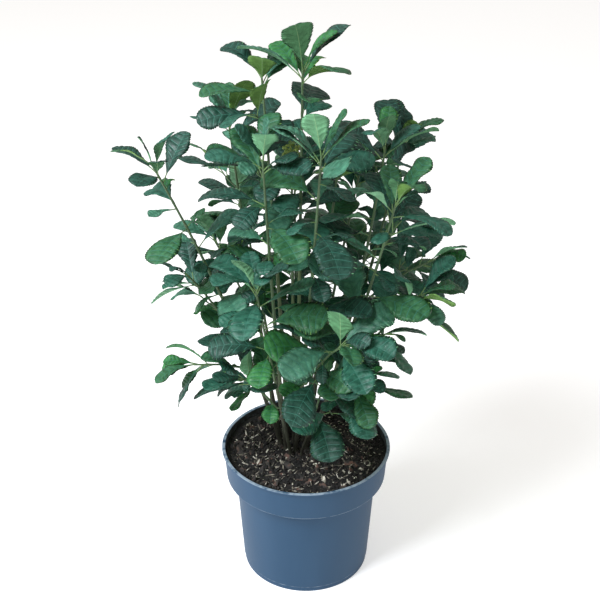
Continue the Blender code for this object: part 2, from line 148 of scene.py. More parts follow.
# Leaves down the sides of a stem
SIDE_STEEPNESS = (52, 72)
SIDE_SIZE = (0.95, 1.15)
SIDE_ROUNDNESS = 1.1
SIDE_SPACING = (0.8, 1.2)
SIDE_START = 8 * MM
SKYWARD = 0.4

# A leaf that has no room is turned and shrunk a little at each try
TRIES = 8
SWING = math.radians(12)
SHRINK = 0.03

# Faults of single leaves: roll in radians, how far the tip bends down, share of the width
ROLL = 0.22
DROOP = (0.25, 1.0)
BREADTH = (0.92, 1.08)

# Bud clusters at the tips of two stems
BUD_CLUSTER_RADIUS = 14 * MM

Cane = namedtuple("Cane", "name foot tip lean bare size seeds")
Shoot = namedtuple("Shoot", "name parent height tip size seeds")
Leaf = namedtuple("Leaf", "base direction up length width droop")

# Each stem: foot on the compost, tip, share of its sideways reach taken by half its
# height, share that is bare, leaf size, and the seeds of its tip and of its side leaves. Millimetres.
CANES = (
    Cane("front", (-14, -3), (15, -95, 626), 0.60, 0.46, 1.0, (258, 92)),
    Cane("front_left", (-27, 2), (-49, -75, 613), 0.60, 0.47, 1.0, (170, 320)),
    Cane("right_front", (0, 4), (98, -85, 564), 0.62, 0.50, 1.0, (252, 355)),
    Cane("left_arm", (-35, 15), (-175, -40, 593), 0.36, 0.52, 0.86, (147, 60)),
    Cane("low_front_left", (-21, -10), (-59, -86, 457), 0.50, 0.50, 1.1, (341, 284)),
    Cane("low_front", (-6, -11), (22, -62, 317), 0.50, 0.45, 0.95, (84, 170)),
    Cane("right", (9, 17), (93, 20, 593), 0.72, 0.50, 1.0, (249, 4)),
    Cane("top", (-12, 31), (-5, 10, 690), 0.50, 0.50, 1.15, (230, 8)),
    Cane("left_top", (-24, 31), (-52, 15, 684), 0.40, 0.50, 0.95, (336, 236)),
    Cane("left_back", (-36, 30), (-96, 80, 610), 0.60, 0.48, 0.95, (130, 200)),
    Cane("right_top", (12, 28), (120, 80, 574), 0.62, 0.50, 0.95, (206, 35)),
    Cane("bud_left", (-16, 17), (-18, 30, 572), 0.50, 0.55, 0.9, (146, 326)),
    Cane("bud_right", (-4, 20), (38, 40, 562), 0.55, 0.55, 0.9, (69, 150)),
    Cane("right_dark", (3, 37), (71, 120, 533), 0.40, 0.50, 1.0, (122, 346)),
    Cane("back", (-12, 44), (-15, 140, 500), 0.50, 0.48, 1.0, (223, 40)),
    Cane("back_left", (-27, 44), (-85, 130, 480), 0.50, 0.48, 1.0, (137, 109)),
    Cane("back_right", (-2, 50), (65, 135, 490), 0.50, 0.48, 1.0, (200, 65)),
)

# Each side shoot: the stem that it leaves, at which height, its tip, leaf size and seeds
SHOOTS = (
    Shoot("left_low", "front_left", 305, (-140, -40, 330), 0.85, (295, 277)),
    Shoot("right_low", "right_front", 300, (135, -60, 438), 0.95, (276, 71)),
    Shoot("centre_front", "front", 300, (42, -105, 395), 1.1, (284, 349)),
    Shoot("left_side", "left_arm", 350, (-145, -12, 440), 0.8, (132, 254)),
    Shoot("left_foot", "left_back", 245, (-78, 18, 268), 0.7, (120, 0)),
    Shoot("right_side", "right_top", 370, (160, 50, 430), 0.9, (260, 4)),
    Shoot("right_foot", "right", 300, (88, -5, 350), 1.0, (121, 68)),
    Shoot("left_middle", "left_back", 340, (-118, 70, 450), 0.95, (320, 223)),
    Shoot("left_inner", "low_front_left", 262, (-80, -52, 318), 1.0, (242, 82)),
    Shoot("right_inner", "right_front", 255, (62, -72, 322), 1.05, (167, 210)),
    Shoot("back_foot", "back", 300, (-20, 130, 380), 1.0, (307, 49)),
    Shoot("back_side", "right_dark", 320, (85, 130, 400), 1.0, (140, 301)),
    Shoot("back_low", "back_left", 320, (-90, 120, 390), 1.0, (253, 337)),
)


def evaluated_mesh(thing):
    graph = bpy.context.evaluated_depsgraph_get()
    return bpy.data.meshes.new_from_object(thing.evaluated_get(graph))


def wall_profile(inset, top, bottom):
    """(radius, height) down the pot's wall from top to bottom, set in by the inset."""
    step = COLLAR_FOOT_HEIGHT + inset
    collar = (COLLAR_TOP_RADIUS - COLLAR_FOOT_RADIUS) / (POT_HEIGHT - COLLAR_FOOT_HEIGHT)
    body = (SHOULDER_RADIUS - BODY_FOOT_RADIUS) / (COLLAR_FOOT_HEIGHT - FOOT_HEIGHT)
    return [
        (COLLAR_FOOT_RADIUS + collar * (top - COLLAR_FOOT_HEIGHT) - inset, top),
        (COLLAR_FOOT_RADIUS + collar * (step - COLLAR_FOOT_HEIGHT) - inset, step),
        (SHOULDER_RADIUS + body * (step - COLLAR_FOOT_HEIGHT) - inset, step),
        (BODY_FOOT_RADIUS + body * (bottom - FOOT_HEIGHT) - inset, bottom),
    ]


class Path:
    """A tapering stem's middle line: points with radii, and places along it by distance."""

    def __init__(self, points, radii):
        self.points = points
        self.radii = radii
        self.length = sum((b - a).length for a, b in zip(points, points[1:]))

    def at(self, distance):
        """Point, tangent and radius at a distance along the path."""
        left = distance
        for i, (a, b) in enumerate(zip(self.points, self.points[1:])):
            span = (b - a).length
            if left <= span or i == len(self.points) - 2:
                share = left / span
                radius = self.radii[i] + (self.radii[i + 1] - self.radii[i]) * share
                return a.lerp(b, share), (b - a).normalized(), radius
            left -= span


def arc(start, knee, end, share):
    """A point on the curve that leaves start towards knee and comes to end."""
    return start.lerp(knee, share).lerp(knee.lerp(end, share), share)


def stem_radius(length_left):
    share = min(1.0, max(0.0, length_left / FULL_STEM))
    return STEM_TIP_RADIUS + (STEM_FOOT_RADIUS - STEM_TIP_RADIUS) * share


def cane_paths(cane):
    """The bare limb of a cane, and the stem of its mass, with a gap between them."""
    foot = Vector((cane.foot[0] * MM, cane.foot[1] * MM, SOIL_TOP + GAP))
    tip = Vector(cane.tip) * MM
    knee = foot.lerp(tip, 0.5)
    knee.x = foot.x + (tip.x - foot.x) * cane.lean
    knee.y = foot.y + (tip.y - foot.y) * cane.lean
    length = (tip - foot).length
    start = foot + Vector((0, 0, FLARE_HEIGHT))

    def stretch(first, last, segments):
        shares = [first + (last - first) * i / segments for i in range(segments + 1)]
        points = [arc(start, knee, tip, share) for share in shares]
        return points, [stem_radius(length * (1 - share)) for share in shares]

    limb_points, limb_radii = stretch(0, cane.bare, LIMB_SEGMENTS)
    mass_points, mass_radii = stretch(cane.bare, 1, MASS_SEGMENTS)
    along = (limb_points[-1] - limb_points[-2]).normalized()
    mass_points[0] = limb_points[-1] + along * GAP
    mass_points.insert(1, mass_points[0] + along * JOINT_LENGTH)
    mass_radii.insert(1, mass_radii[0])
    limb = Path([foot, *limb_points], [limb_radii[0] * ROOT_FLARE, *limb_radii])
    return limb, Path(mass_points, mass_radii)


def shoot_path(shoot, limb):
    """The stem of a side shoot, which starts square to its limb, with a gap to it."""
    low = limb.points[0].z
    share = (shoot.height * MM - low) / (limb.points[-1].z - low)
    centre, along, radius = limb.at(limb.length * share)
    tip = Vector(shoot.tip) * MM
    out = tip - centre
    out = (out - along * out.dot(along)).normalized()
    start = centre + out * (radius + GAP)
    second = start + out * JOINT_LENGTH
    knee = second.lerp(tip, 0.5) + Vector((0, 0, SHOOT_RISE * (tip - second).length))
    steps = SHOOT_SEGMENTS
    points = [start, *(arc(second, knee, tip, i / steps) for i in range(steps + 1))]
    radii = [SHOOT_RADIUS + (STEM_TIP_RADIUS - SHOOT_RADIUS) * i / steps for i in range(steps + 1)]
    return Path(points, [SHOOT_RADIUS, *radii])


def perpendicular(vector, axis):
    return (vector - axis * vector.dot(axis)).normalized()


def midrib(leaf, steps=LEAF_STEPS):
    """Points, directions and upper normals in even steps along a leaf that bends down."""
    point = leaf.base.copy()
    places = []
    for step in range(steps + 1):
        share = step / steps
        along = (leaf.direction + Vector((0, 0, -leaf.droop * share))).normalized()
        places.append((point.copy(), along, perpendicular(leaf.up, along)))
        point += along * leaf.length / steps
    return places


def blade_profile(along):
    """Half the blade's width at a share of the blade, as a share of its widest."""
    widest = BLADE_RISE / (BLADE_RISE + BLADE_FALL)
    top = widest**BLADE_RISE * (1 - widest) ** BLADE_FALL
    return along**BLADE_RISE * (1 - along) ** BLADE_FALL / top


def blade_share(step):
    """Half the blade's width at a step along the whole leaf, as a share of its widest."""
    return blade_profile(max(0.0, (step / LEAF_STEPS - STALK_SHARE) / (1 - STALK_SHARE)))


def leaf_shape(leaf, margin=0.0, stalk=True):
    """Points and faces of a leaf: a keeled blade lofted from its stalk to its tip."""
    places = midrib(leaf)
    first = (0, STALK_WIDTH / 2, STALK_WIDTH / 2) if stalk else (3, leaf.width / 10, LEAF_THICKNESS)
    sections = [first]
    for step in LEAF_SECTIONS:
        sections.append((step, blade_share(step) * leaf.width / 2, LEAF_THICKNESS))
    points = []
    for step, width, depth in sections:
        centre, along, normal = places[step]
        across = along.cross(normal) * (width + 2 * margin)
        rise = normal * (depth / 2 + margin)
        points += [centre - across + rise, centre + across + rise, centre - rise]
    points.append(places[-1][0] + places[-1][1] * 2 * margin)
    faces = [(2, 1, 0)]
    for ring in range(0, 3 * (len(sections) - 1), 3):
        for i in range(3):
            j = (i + 1) % 3
            faces += [(ring + i, ring + j, ring + 3 + j), (ring + i, ring + 3 + j, ring + 3 + i)]
    last = 3 * (len(sections) - 1)
    tip = len(points) - 1
    faces += [(last + i, last + (i + 1) % 3, tip) for i in range(3)]
    return points, faces


class Solid:
    """A surface with its box, to test whether others touch it."""

    def __init__(self, points, faces):
        self.points = points
        self.faces = faces
        self.low = [min(p[i] for p in points) for i in range(3)]
        self.high = [max(p[i] for p in points) for i in range(3)]
        self.made = None

    def tree(self):
        if self.made is None:
            self.made = BVHTree.FromPolygons(self.points, self.faces)
        return self.made

    def touches(self, other):
        low, high = self.low, self.high
        if any(low[i] > other.high[i] or other.low[i] > high[i] for i in range(3)):
            return False
        return bool(self.tree().overlap(other.tree()))


def solid_of(thing):
    mesh = evaluated_mesh(thing)
    points = [thing.matrix_world @ vertex.co for vertex in mesh.vertices]
    faces = [tuple(polygon.vertices) for polygon in mesh.polygons]
    bpy.data.meshes.remove(mesh)
    return Solid(points, faces)


def heading(along, azimuth, steepness):
    """The direction that leaves a stem's direction at an angle, turned round it."""
    turn = Vector((0, 0, 1)).rotation_difference(along)
    outward = turn @ Vector((math.cos(azimuth), math.sin(azimuth), 0))
    return (along * math.cos(steepness) + outward * math.sin(steepness)).normalized()


def make_leaf(path, distance, azimuth, steepness, size, roundness, faults):
    """A leaf that leaves a stem at an angle from its direction, with its own small faults."""
    centre, along, _ = path.at(distance)
    direction = heading(along, azimuth, steepness)
    up = perpendicular(along * SKYWARD + Vector((0, 0, 1)), direction)
    roll, droop, breadth = faults
    return Leaf(
        base=centre,
        direction=direction,
        up=Quaternion(direction, roll) @ up,
        length=LEAF_LENGTH * size,
        width=LEAF_WIDTH * size * roundness * breadth,
        droop=droop,
    )


def sleeve(path):
    """A three-sided sleeve round a twig, a little wider than the twig."""
    turn = Vector((0, 0, 1)).rotation_difference((path.points[-1] - path.points[0]).normalized())
    points = []
    for point, radius in zip(path.points, path.radii):
        for i in range(3):
            angle = math.tau * i / 3
            ring = Vector((math.cos(angle), math.sin(angle), 0)) * (radius * 1.4 + CLEARANCE)
            points.append(point + turn @ ring)
    faces = []
    for ring in range(0, 3 * (len(path.points) - 1), 3):
        for i in range(3):
            j = (i + 1) % 3
            faces += [(ring + i, ring + j, ring + 3 + j), (ring + i, ring + 3 + j, ring + 3 + i)]
    return Solid(points, faces)


class Mass:
    """The twigs and leaves that grow from one stem."""

    def __init__(self, name, path, size, seeds, has_buds=False):
        self.name = name
        self.path = path
        self.size = size
        self.seeds = seeds
        self.has_buds = has_buds
        self.twigs = []
        self.leaves = []
        self.stems = [sleeve(path)]
        self.blades = []
        self.solids = []
        if has_buds:
            self.stems.append(Solid(*self.bud_shape(CLEARANCE)))

    def pieces(self):
        return self.stems + self.solids

    def bud_centre(self):
        return self.path.points[-1] + Vector((0, 0, 0.8 * BUD_CLUSTER_RADIUS))

    def bud_shape(self, margin):
        """Points and faces of the ball that holds the buds on the tip, with room round it."""
        shape = bmesh.new()
        radius = BUD_CLUSTER_RADIUS + margin
        centre = self.bud_centre()
        bmesh.ops.create_icosphere(shape, subdivisions=1, radius=radius)
        points = [vertex.co + centre for vertex in shape.verts]
        faces = [tuple(vertex.index for vertex in face.verts) for face in shape.faces]
        shape.free()
        return points, faces


def clear_outside(solid, mass, masses, fixed):
    """Whether a new piece of a mass keeps clear of the limbs, the pot and other masses."""
    if any(solid.touches(other) for other in fixed):
        return False
    others = (piece for other in masses if other is not mass for piece in other.pieces())
    return not any(solid.touches(piece) for piece in others)


def try_leaf(mass, path, distance, azimuth, steepness, size, roundness, draw, masses, fixed):
    """Places a leaf, turned a little further at each try, or leaves it out."""
    faults = (draw.gauss(0, ROLL), draw.uniform(*DROOP), draw.uniform(*BREADTH))
    for attempt in range(TRIES):
        turn = azimuth + SWING * ((attempt + 1) // 2) * (-1) ** attempt
        scale = size * (1 - SHRINK * attempt)
        leaf = make_leaf(path, distance, turn, steepness, scale, roundness, faults)
        blade = Solid(*leaf_shape(leaf, CLEARANCE, stalk=False))
        if any(blade.touches(own) for own in mass.blades + mass.stems):
            continue
        if clear_outside(Solid(*leaf_shape(leaf, CLEARANCE)), mass, masses, fixed):
            mass.leaves.append(leaf)
            mass.solids.append(Solid(*leaf_shape(leaf)))
            mass.blades.append(Solid(*leaf_shape(leaf, stalk=False)))
            return


def grow_rosette(mass, path, azimuth, size, places, draw, masses, fixed):
    """Leaves packed at a tip, steeper and smaller towards the end."""
    for i, back in enumerate(places):
        distance = path.length - TIP_END - back * MM
        fault = draw.uniform(-TIP_STEEPNESS_FAULT, TIP_STEEPNESS_FAULT)
        steepness = math.radians(TIP_STEEPNESS[0] + TIP_STEEPNESS[1] * i + fault)
        scale = size * (TIP_SIZE[0] + TIP_SIZE[1] * i)
        turn = azimuth + GOLDEN_TURN * i
        try_leaf(mass, path, distance, turn, steepness, scale, TIP_ROUNDNESS, draw, masses, fixed)


def grow_spur(mass, distance, azimuth, steepness, draw, masses, fixed):
    """A short twig with a few leaves at its tip, or False where it has no room."""
    centre, along, _ = mass.path.at(distance)
    direction = heading(along, azimuth, steepness)
    tip = centre + (direction + Vector((0, 0, SPUR_RISE))) * SPUR_LENGTH
    knee = centre + direction * SPUR_LENGTH * SPUR_KNEE
    points = [arc(centre, knee, tip, share) for share in (0, 0.5, 1)]
    twig = Path(points, [SPUR_RADIUS * 1.2, SPUR_RADIUS, SPUR_RADIUS * 0.8])
    if not clear_outside(sleeve(twig), mass, masses, fixed):
        return False
    mass.twigs.append(twig)
    mass.stems.append(sleeve(twig))
    places = ROSETTE[:SPUR_LEAVES]
    size = mass.size * SPUR_LEAF_SIZE
    grow_rosette(mass, twig, azimuth, size, places, draw, masses, fixed)
    return True


def grow_tip(mass, masses, fixed):
    draw = random.Random(mass.seeds[0])
    azimuth = draw.uniform(0, math.tau)
    grow_rosette(mass, mass.path, azimuth, mass.size, ROSETTE, draw, masses, fixed)


def grow_sides(mass, masses, fixed):
    """Leaves and spurs in spiral order from below the tip down to the stem's start."""
    draw = random.Random(mass.seeds[1])
    azimuth = draw.uniform(0, math.tau)
    distance = mass.path.length - ROSETTE[-1] * MM - INTERNODE
    while distance > SIDE_START:
        steepness = math.radians(draw.uniform(*SIDE_STEEPNESS))
        size = mass.size * draw.uniform(*SIDE_SIZE)
        spur = draw.random() < SPUR_CHANCE
        own = random.Random(draw.random())
        if not spur or not grow_spur(mass, distance, azimuth, steepness, own, masses, fixed):
            place = (distance, azimuth, steepness, size, SIDE_ROUNDNESS)
            try_leaf(mass, mass.path, *place, own, masses, fixed)
        distance -= INTERNODE * draw.uniform(*SIDE_SPACING)
        azimuth += GOLDEN_TURN


Shell = namedtuple("Shell", "points faces kinds")
Shade = namedtuple("Shade", "name top underside share_high share_low")

# Fine leaf: columns over half of the blade, and the real sizes of its skin, rib and edge
BLADE_COLUMNS = (0.36, 0.7, 1.0)
MIDRIB_STEPS = 48
ROW_CROWDING = 1.25
FULLNESS = 1.04
LEAF_SKIN = 0.4 * MM
RIB_WIDTH = 0.65 * MM
RIB_TAPER = 0.6
RIB_DEPTH = 0.6 * MM
LEAF_FOLD = (9, 27)
EDGE_ROLL = 0.26
EDGE_WAVE = 1.7 * MM
WAVE_TURNS = (6, 11)
OUTLINE_WAVE = 0.05

# How far the tip of a blade curls down, and the share of the blade where that starts
TIP_CURL = 5 * MM
CURL_TIMES = (0, 4)
CURL_FROM = 0.45

# Side veins sweep forward. Six rows lead from one vein to the next, with their height and teeth.
VEIN_PAIRS = 7
VEIN_SWEEP = 0.3
VEIN_DEPTH = 0.6 * MM
VEIN_STEPS = (0.0, 0.07, 0.3, 0.5, 0.57, 0.8)
VEIN_SWELL = (-1.0, -1.0, 0.3, 0.8, 0.8, 0.4)
TOOTH_STEPS = (0.0, 1.0, 0.5, 0.0, 1.0, 0.5)
TOOTH_DEPTH = 1.15 * MM
TOOTHED_FROM = 0.3

# Young leaves at each tip (millimetres back, size, degrees) and small ones between the large ones
YOUNG_LEAVES = ((0.0, 0.6, 10), (3.0, 0.74, 18), (12.0, 0.8, 40))
YOUNG_LEAF_SIZE = (0.85, 1.1)
SMALL_LEAF_GAP = 24 * MM
SMALL_LEAF_SIZE = (0.45, 0.72)

# Leaf colours, top and underside, with the share of leaves in the upper and lower crown
SHADES = (
    # The darkest top is partly painted shade, a darker copy standing in for leaves in shadow inside the
    # crown
    Shade("deep", "#184034", "#578a60", 0.30, 0.28),
    Shade("teal", "#225645", "#6aa077", 0.34, 0.28),
    Shade("green", "#2a5c39", "#6b944c", 0.22, 0.20),
    # A paler blue-grey top, partly a painted sheen standing in for the gloss of waxy leaves
    Shade("soft", "#3c6f58", "#81b68e", 0.12, 0.12),
    Shade("fresh", "#2f6e39", "#76a24a", 0.02, 0.12),
)
LOW_CROWN = 430 * MM
YOUNG_GREEN_SHARE = 0.12

# Compost: how far it climbs the pot's wall and from which share of its radius, its mesh, the
# upward share of a face that is too steep for chips, and the waves that roughen it, each with
# its count in a metre, its place in the noise and its height
CRUST_RISE = 6.5 * MM
CRUST_START = 0.8
CRUST_RINGS = 62
CRUST_SPOKES = 210
STEEP_BED = 0.2
CRUST_WAVES = ((70, 0, 1.2), (210, 7, 1.1), (420, 3, 1.0))

# Chips on the compost: sizes in millimetres, the setting and share that give their number in a
# square metre, least and largest scale, tilt, seed and colours
Chip = namedtuple("Chip", "name sizes kind share scales tilt seed colours")
PALE_WOOD = ((0.34, "#3b3731"), (0.5, "#7d7669"), (0.64, "#dad4c6"))
BROWN_BARK = ((0.35, "#1a1816"), (0.52, "#35302d"), (0.7, "#66493e"))
DARK_PEAT = ((0.35, "#080707"), (0.55, "#151210"), (0.75, "#332c25"))
CHIPS = (
    Chip("compost_slivers", (14, 1.9, 1.2), "slivers", 1, (0.35, 1.3), 0.8, 3, PALE_WOOD),
    Chip("compost_pale_flakes", (10, 5.5, 1.6), "slivers", 0.27, (0.3, 1.2), 0.9, 11, PALE_WOOD),
    Chip("compost_splinters", (6, 1.3, 0.9), "slivers", 1, (0.5, 1.1), 0.7, 17, PALE_WOOD),
    Chip("compost_flakes", (13, 8.5, 2.6), "flakes", 1, (0.35, 1.2), 0.9, 5, BROWN_BARK),
    Chip("compost_crumbs", (5.5, 4.4, 4.0), "crumbs", 1, (0.35, 1.3), 1.3, 8, DARK_PEAT),
)

# Pale broken lines along the pot's edges, partly painted highlight where an edge catches the light and
# partly wear: height, reach, and the noise from which it shows
HIGHLIT_AND_WORN_EDGES = (
    (POT_HEIGHT, 0.9 * MM, 0.34),
    (COLLAR_FOOT_HEIGHT, 1.3 * MM, 0.4),
    (7 * MM, 1.0 * MM, 0.44),
)
# Colour of those edge lines, partly painted highlight and partly wear
EDGE_HIGHLIGHT_AND_WEAR_COLOUR = "#8c9ba9"
SHARP_EDGE = math.radians(38)
CORNER_STEPS = 4

# Tubes round stems, twigs and stalks: sides, ring spacing, unevenness, depth sunk, leaf scars
STEM_TUBE = (14, 2.2 * MM, 0.13, 2 * MM, 0.1)
SHOOT_TUBE = (10, 2.5 * MM, 0.08, 1.5 * MM, 0.22)
TWIG_TUBE = (8, 2.5 * MM, 0.08, 0)
STALK_TUBE = (6, 2.5 * MM, 0.05, 0)

# Flower buds: radius, reach of the stalks, core of the cluster, and how densely they stand on it
BUD_RADIUS = 1.7 * MM
BUD_HEIGHT = 5.5 * MM
BUD_STRETCH = 1.25
BUD_STALK_LENGTH = 8 * MM
BUD_CORE_RADIUS = 6.5 * MM
BUD_SPREAD = {"Density": 130000.0, "Smallest": 0.6, "Largest": 1.2, "Tilt": 0.5}

# Studio
FLOOR_REACH = 8.0
FLOOR_DROP = 0.3 * MM
SKY_COLOUR = "#fffaf4"
KEY_COLOUR = "#f3f8ff"
KEY_SIZE = 1.1
KEY_PLACE = Vector((-1.3, -1.0, 2.0))
KEY_TARGET = Vector((0, 0, 0.4))
CAMERA_PLACE = (-0.008, -1.2, 1.034)
CAMERA_PITCH = math.radians(90 - 27.85)
SENSOR_WIDTH = 36
FAR_CLIP = 50


def linear(code):
    """An sRGB hex colour as linear red, green, blue and alpha."""
    shares = [int(code[i : i + 2], 16) / 255 for i in (1, 3, 5)]
    return (*(c / 12.92 if c <= 0.04045 else ((c + 0.055) / 1.055) ** 2.4 for c in shares), 1.0)


def add_node(tree, kind, inputs=None, **settings):
    """A new node with its settings. Each input is a value, or another node's output to link."""
    node = tree.nodes.new(kind)
    for name, value in settings.items():
        setattr(node, name, value)
    for socket, value in (inputs or {}).items():
        if isinstance(value, bpy.types.NodeSocket):
            tree.links.new(value, node.inputs[socket])
        else:
            node.inputs[socket].default_value = value
    return node


def plain_material(name, colour, **values):
    """A material of one base colour, with its node tree and shader."""
    material = bpy.data.materials.new(name)
    material.use_nodes = True
    shader = material.node_tree.nodes["Principled BSDF"]
    shader.inputs["Base Color"].default_value = colour
    for socket, value in values.items():
        shader.inputs[socket.replace("_", " ")].default_value = value
    return material, material.node_tree, shader


def grain(tree, size, detail=2.0, stretch=(1, 1, 1)):
    """Noise over the object whose spots are about this many metres across."""
    place = add_node(tree, "ShaderNodeTexCoord").outputs["Object"]
    scaled = add_node(tree, "ShaderNodeMapping", {"Vector": place, "Scale": stretch})
    settings = {"Vector": scaled.outputs[0], "Scale": 1 / size, "Detail": detail}
    return add_node(tree, "ShaderNodeTexNoise", settings).outputs["Fac"]


def blend_colours(tree, share, colours):
    """A colour ramp from places and hex colours."""
    ramp = add_node(tree, "ShaderNodeValToRGB", {"Fac": share})
    stops = ramp.color_ramp.elements
    while len(stops) < len(colours):
        stops.new(0.5)
    for stop, (place, code) in zip(stops, colours):
        stop.position = place
        stop.color = linear(code)
    return ramp.outputs["Color"]


def relief(tree, shader, height, depth, strength=1.0):
    """Bump of this depth in metres from a height pattern."""
    values = {"Height": height, "Distance": depth, "Strength": strength}
    bump = add_node(tree, "ShaderNodeBump", values)
    tree.links.new(bump.outputs[0], shader.inputs["Normal"])


def ranged(tree, value, low, high, to_low=0.0, to_high=1.0):
    """A value mapped from one range to another and kept within it."""
    limits = {"Value": value, "From Min": low, "From Max": high, "To Min": to_low, "To Max": to_high}
    return add_node(tree, "ShaderNodeMapRange", limits).outputs[0]


def mixed(tree, share, first, second):
    """A colour that goes from the first to the second with a share."""
    colours = {"Factor": share, "A": first, "B": second}
    return add_node(tree, "ShaderNodeMix", colours, data_type="RGBA").outputs["Result"]


def reckoned(tree, operation, *values):
    """A value worked out from one or two others."""
    return add_node(tree, "ShaderNodeMath", dict(enumerate(values)), operation=operation).outputs[0]


def toned(colour, times, plus=0.0):
    """A colour made darker or lighter."""
    return [*(share * times + plus for share in colour[:3]), 1]


def height_of(tree):
    """Height over the floor, in metres."""
    place = add_node(tree, "ShaderNodeTexCoord").outputs["Object"]
    return add_node(tree, "ShaderNodeSeparateXYZ", {"Vector": place}).outputs["Z"]


def grained_material(name, colour, roughness, spots=1.5 * MM):
    """A thin living skin: one green, a low sheen, and a grain too fine to count."""
    material, tree, shader = plain_material(name, colour, Roughness=roughness)
    relief(tree, shader, grain(tree, spots), 0.1 * MM, 0.4)
    return material


def pot_material(colour):
    """Injection-moulded polypropylene: a soft sheen, fine mould grain, faint dust, and pale broken edge
    lines, partly painted highlight and partly wear.
    """
    material, tree, shader = plain_material("moulded_polypropylene", colour, Specular_IOR_Level=0.2)
    cloud = grain(tree, 45 * MM, 3.0, (1, 1, 0.3))
    dust_and_edge_highlights = mixed(tree, ranged(tree, cloud, 0.35, 0.75), colour, toned(colour, 1.08, 0.006))
    height = height_of(tree)
    edge_break_noise = grain(tree, 11 * MM, 6.0, (1, 1, 3))
    # Pale lines along the lip, the collar's foot and the foot: partly painted highlight, partly wear,
    # broken up by noise
    for edge, reach, least in HIGHLIT_AND_WORN_EDGES:
        distance = reckoned(tree, "ABSOLUTE", reckoned(tree, "SUBTRACT", height, edge))
        band = ranged(tree, distance, reach, 0.0)
        patch = ranged(tree, edge_break_noise, least, least + 0.2)
        dust_and_edge_highlights = mixed(tree, reckoned(tree, "MULTIPLY", band, patch), dust_and_edge_highlights, linear(EDGE_HIGHLIGHT_AND_WEAR_COLOUR))
    tree.links.new(dust_and_edge_highlights, shader.inputs["Base Color"])
    tree.links.new(ranged(tree, cloud, 0.0, 1.0, 0.45, 0.62), shader.inputs["Roughness"])
    relief(tree, shader, grain(tree, 0.9 * MM), 0.05 * MM, 0.5)
    return material


def shade_painted_wall_material():
    """The inner wall of the pot: the same plastic, matt and almost black, a painted shade for the
    shadowed inside of the pot.
    """
    colour = linear("#262625")
    material, tree, shader = plain_material("peat_dusted_polypropylene", colour, Roughness=0.8)
    codes = [(0.35, "#171615"), (0.55, "#2c2f31"), (0.75, "#454d54")]
    tree.links.new(blend_colours(tree, grain(tree, 6 * MM, 4.0), codes), shader.inputs["Base Color"])
    return material


def compost_material(colour):
    """Peat compost: almost black, crumbly and matt, with browner drier patches."""
    material, tree, shader = plain_material("peat_compost", colour, Roughness=0.95)
    codes = [(0.36, "#070606"), (0.52, "#11100f"), (0.68, "#27211d"), (0.8, "#43372c")]
    tree.links.new(blend_colours(tree, grain(tree, 7 * MM, 5.0), codes), shader.inputs["Base Color"])
    relief(tree, shader, grain(tree, 2.5 * MM, 6.0), 2.0 * MM, 1.0)
    return material


def chip_material(name, codes):
    """Split wood or bark: matt, with a colour that differs from chip to chip."""
    material, tree, shader = plain_material(name, linear(codes[0][1]), Roughness=0.85)
    colour = blend_colours(tree, grain(tree, 9 * MM, 2.0), codes)
    tree.links.new(colour, shader.inputs["Base Color"])
    relief(tree, shader, grain(tree, 0.8 * MM), 0.2 * MM, 0.6)
    return material


def bark_material(colour):
    """Young serviceberry bark: olive green above, grey-brown and streaked near the ground."""
    material, tree, shader = plain_material("young_bark", colour, Roughness=0.62)
    share = ranged(tree, height_of(tree), SOIL_TOP, 0.5)
    streak = grain(tree, 4 * MM, 3.0, (1, 1, 0.25))
    share = reckoned(tree, "ADD", share, reckoned(tree, "MULTIPLY", streak, 0.5))
    codes = [(0.18, "#26231d"), (0.42, "#34382b"), (0.68, "#4b5a3b"), (1.0, "#5a6c45")]
    tree.links.new(blend_colours(tree, share, codes), shader.inputs["Base Color"])
    relief(tree, shader, streak, 0.4 * MM, 0.7)
    return material


def leaf_top_material(shade):
    """A leaf's waxy upper skin: dark and cloudy, with a broken soft gloss and a few dry specks."""
    colour = linear(shade.top)
    values = {"IOR": 1.45, "Specular_IOR_Level": 0.36}
    material, tree, shader = plain_material("waxy_leaf_top_" + shade.name, colour, **values)
    cloud = ranged(tree, grain(tree, 7 * MM, 6.0), 0.38, 0.66)
    skin = mixed(tree, cloud, toned(colour, 0.72), toned(colour, 1.3, 0.012))
    speck = ranged(tree, grain(tree, 2.6 * MM, 3.0), 0.66, 0.76, 0.0, 0.5)
    tree.links.new(mixed(tree, speck, skin, linear("#8ea79c")), shader.inputs["Base Color"])
    gloss = ranged(tree, grain(tree, 6 * MM, 4.0), 0.35, 0.65, 0.34, 0.66)
    tree.links.new(gloss, shader.inputs["Roughness"])
    relief(tree, shader, grain(tree, 2.2 * MM, 4.0), 0.5 * MM, 0.8)
    return material


def leaf_underside_material(shade):
    """A leaf's lower skin: paler, cloudy and matt, without wax."""
    colour = linear(shade.underside)
    values = {"Roughness": 0.72, "Specular_IOR_Level": 0.3}
    material, tree, shader = plain_material("matt_leaf_underside_" + shade.name, colour, **values)
    cloud = ranged(tree, grain(tree, 9 * MM, 5.0), 0.36, 0.66)
    skin = mixed(tree, cloud, toned(colour, 0.8), toned(colour, 1.18))
    tree.links.new(skin, shader.inputs["Base Color"])
    relief(tree, shader, grain(tree, 1.8 * MM, 4.0), 0.4 * MM, 0.8)
    return material


def settled(thing, nodes):
    """Hands a finished piece to the frame: its body and the nodes it stands for."""
    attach(thing, "root")
    if nodes:
        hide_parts(*nodes)
    return thing


def joined(name, shells, materials, nodes):
    """One piece from many shells, whose faces each name a material."""
    points = []
    faces = []
    kinds = []
    for shell in shells:
        start = len(points)
        points.extend(shell.points)
        faces.extend(tuple(start + corner for corner in face) for face in shell.faces)
        kinds.extend(shell.kinds)
    mesh = bpy.data.meshes.new(name)
    mesh.from_pydata(points, [], faces)
    mesh.polygons.foreach_set("material_index", kinds)
    mesh.polygons.foreach_set("use_smooth", [True] * len(faces))
    for material in materials:
        mesh.materials.append(material)
    thing = bpy.data.objects.new(name, mesh)
    bpy.context.scene.collection.objects.link(thing)
    return settled(thing, nodes)


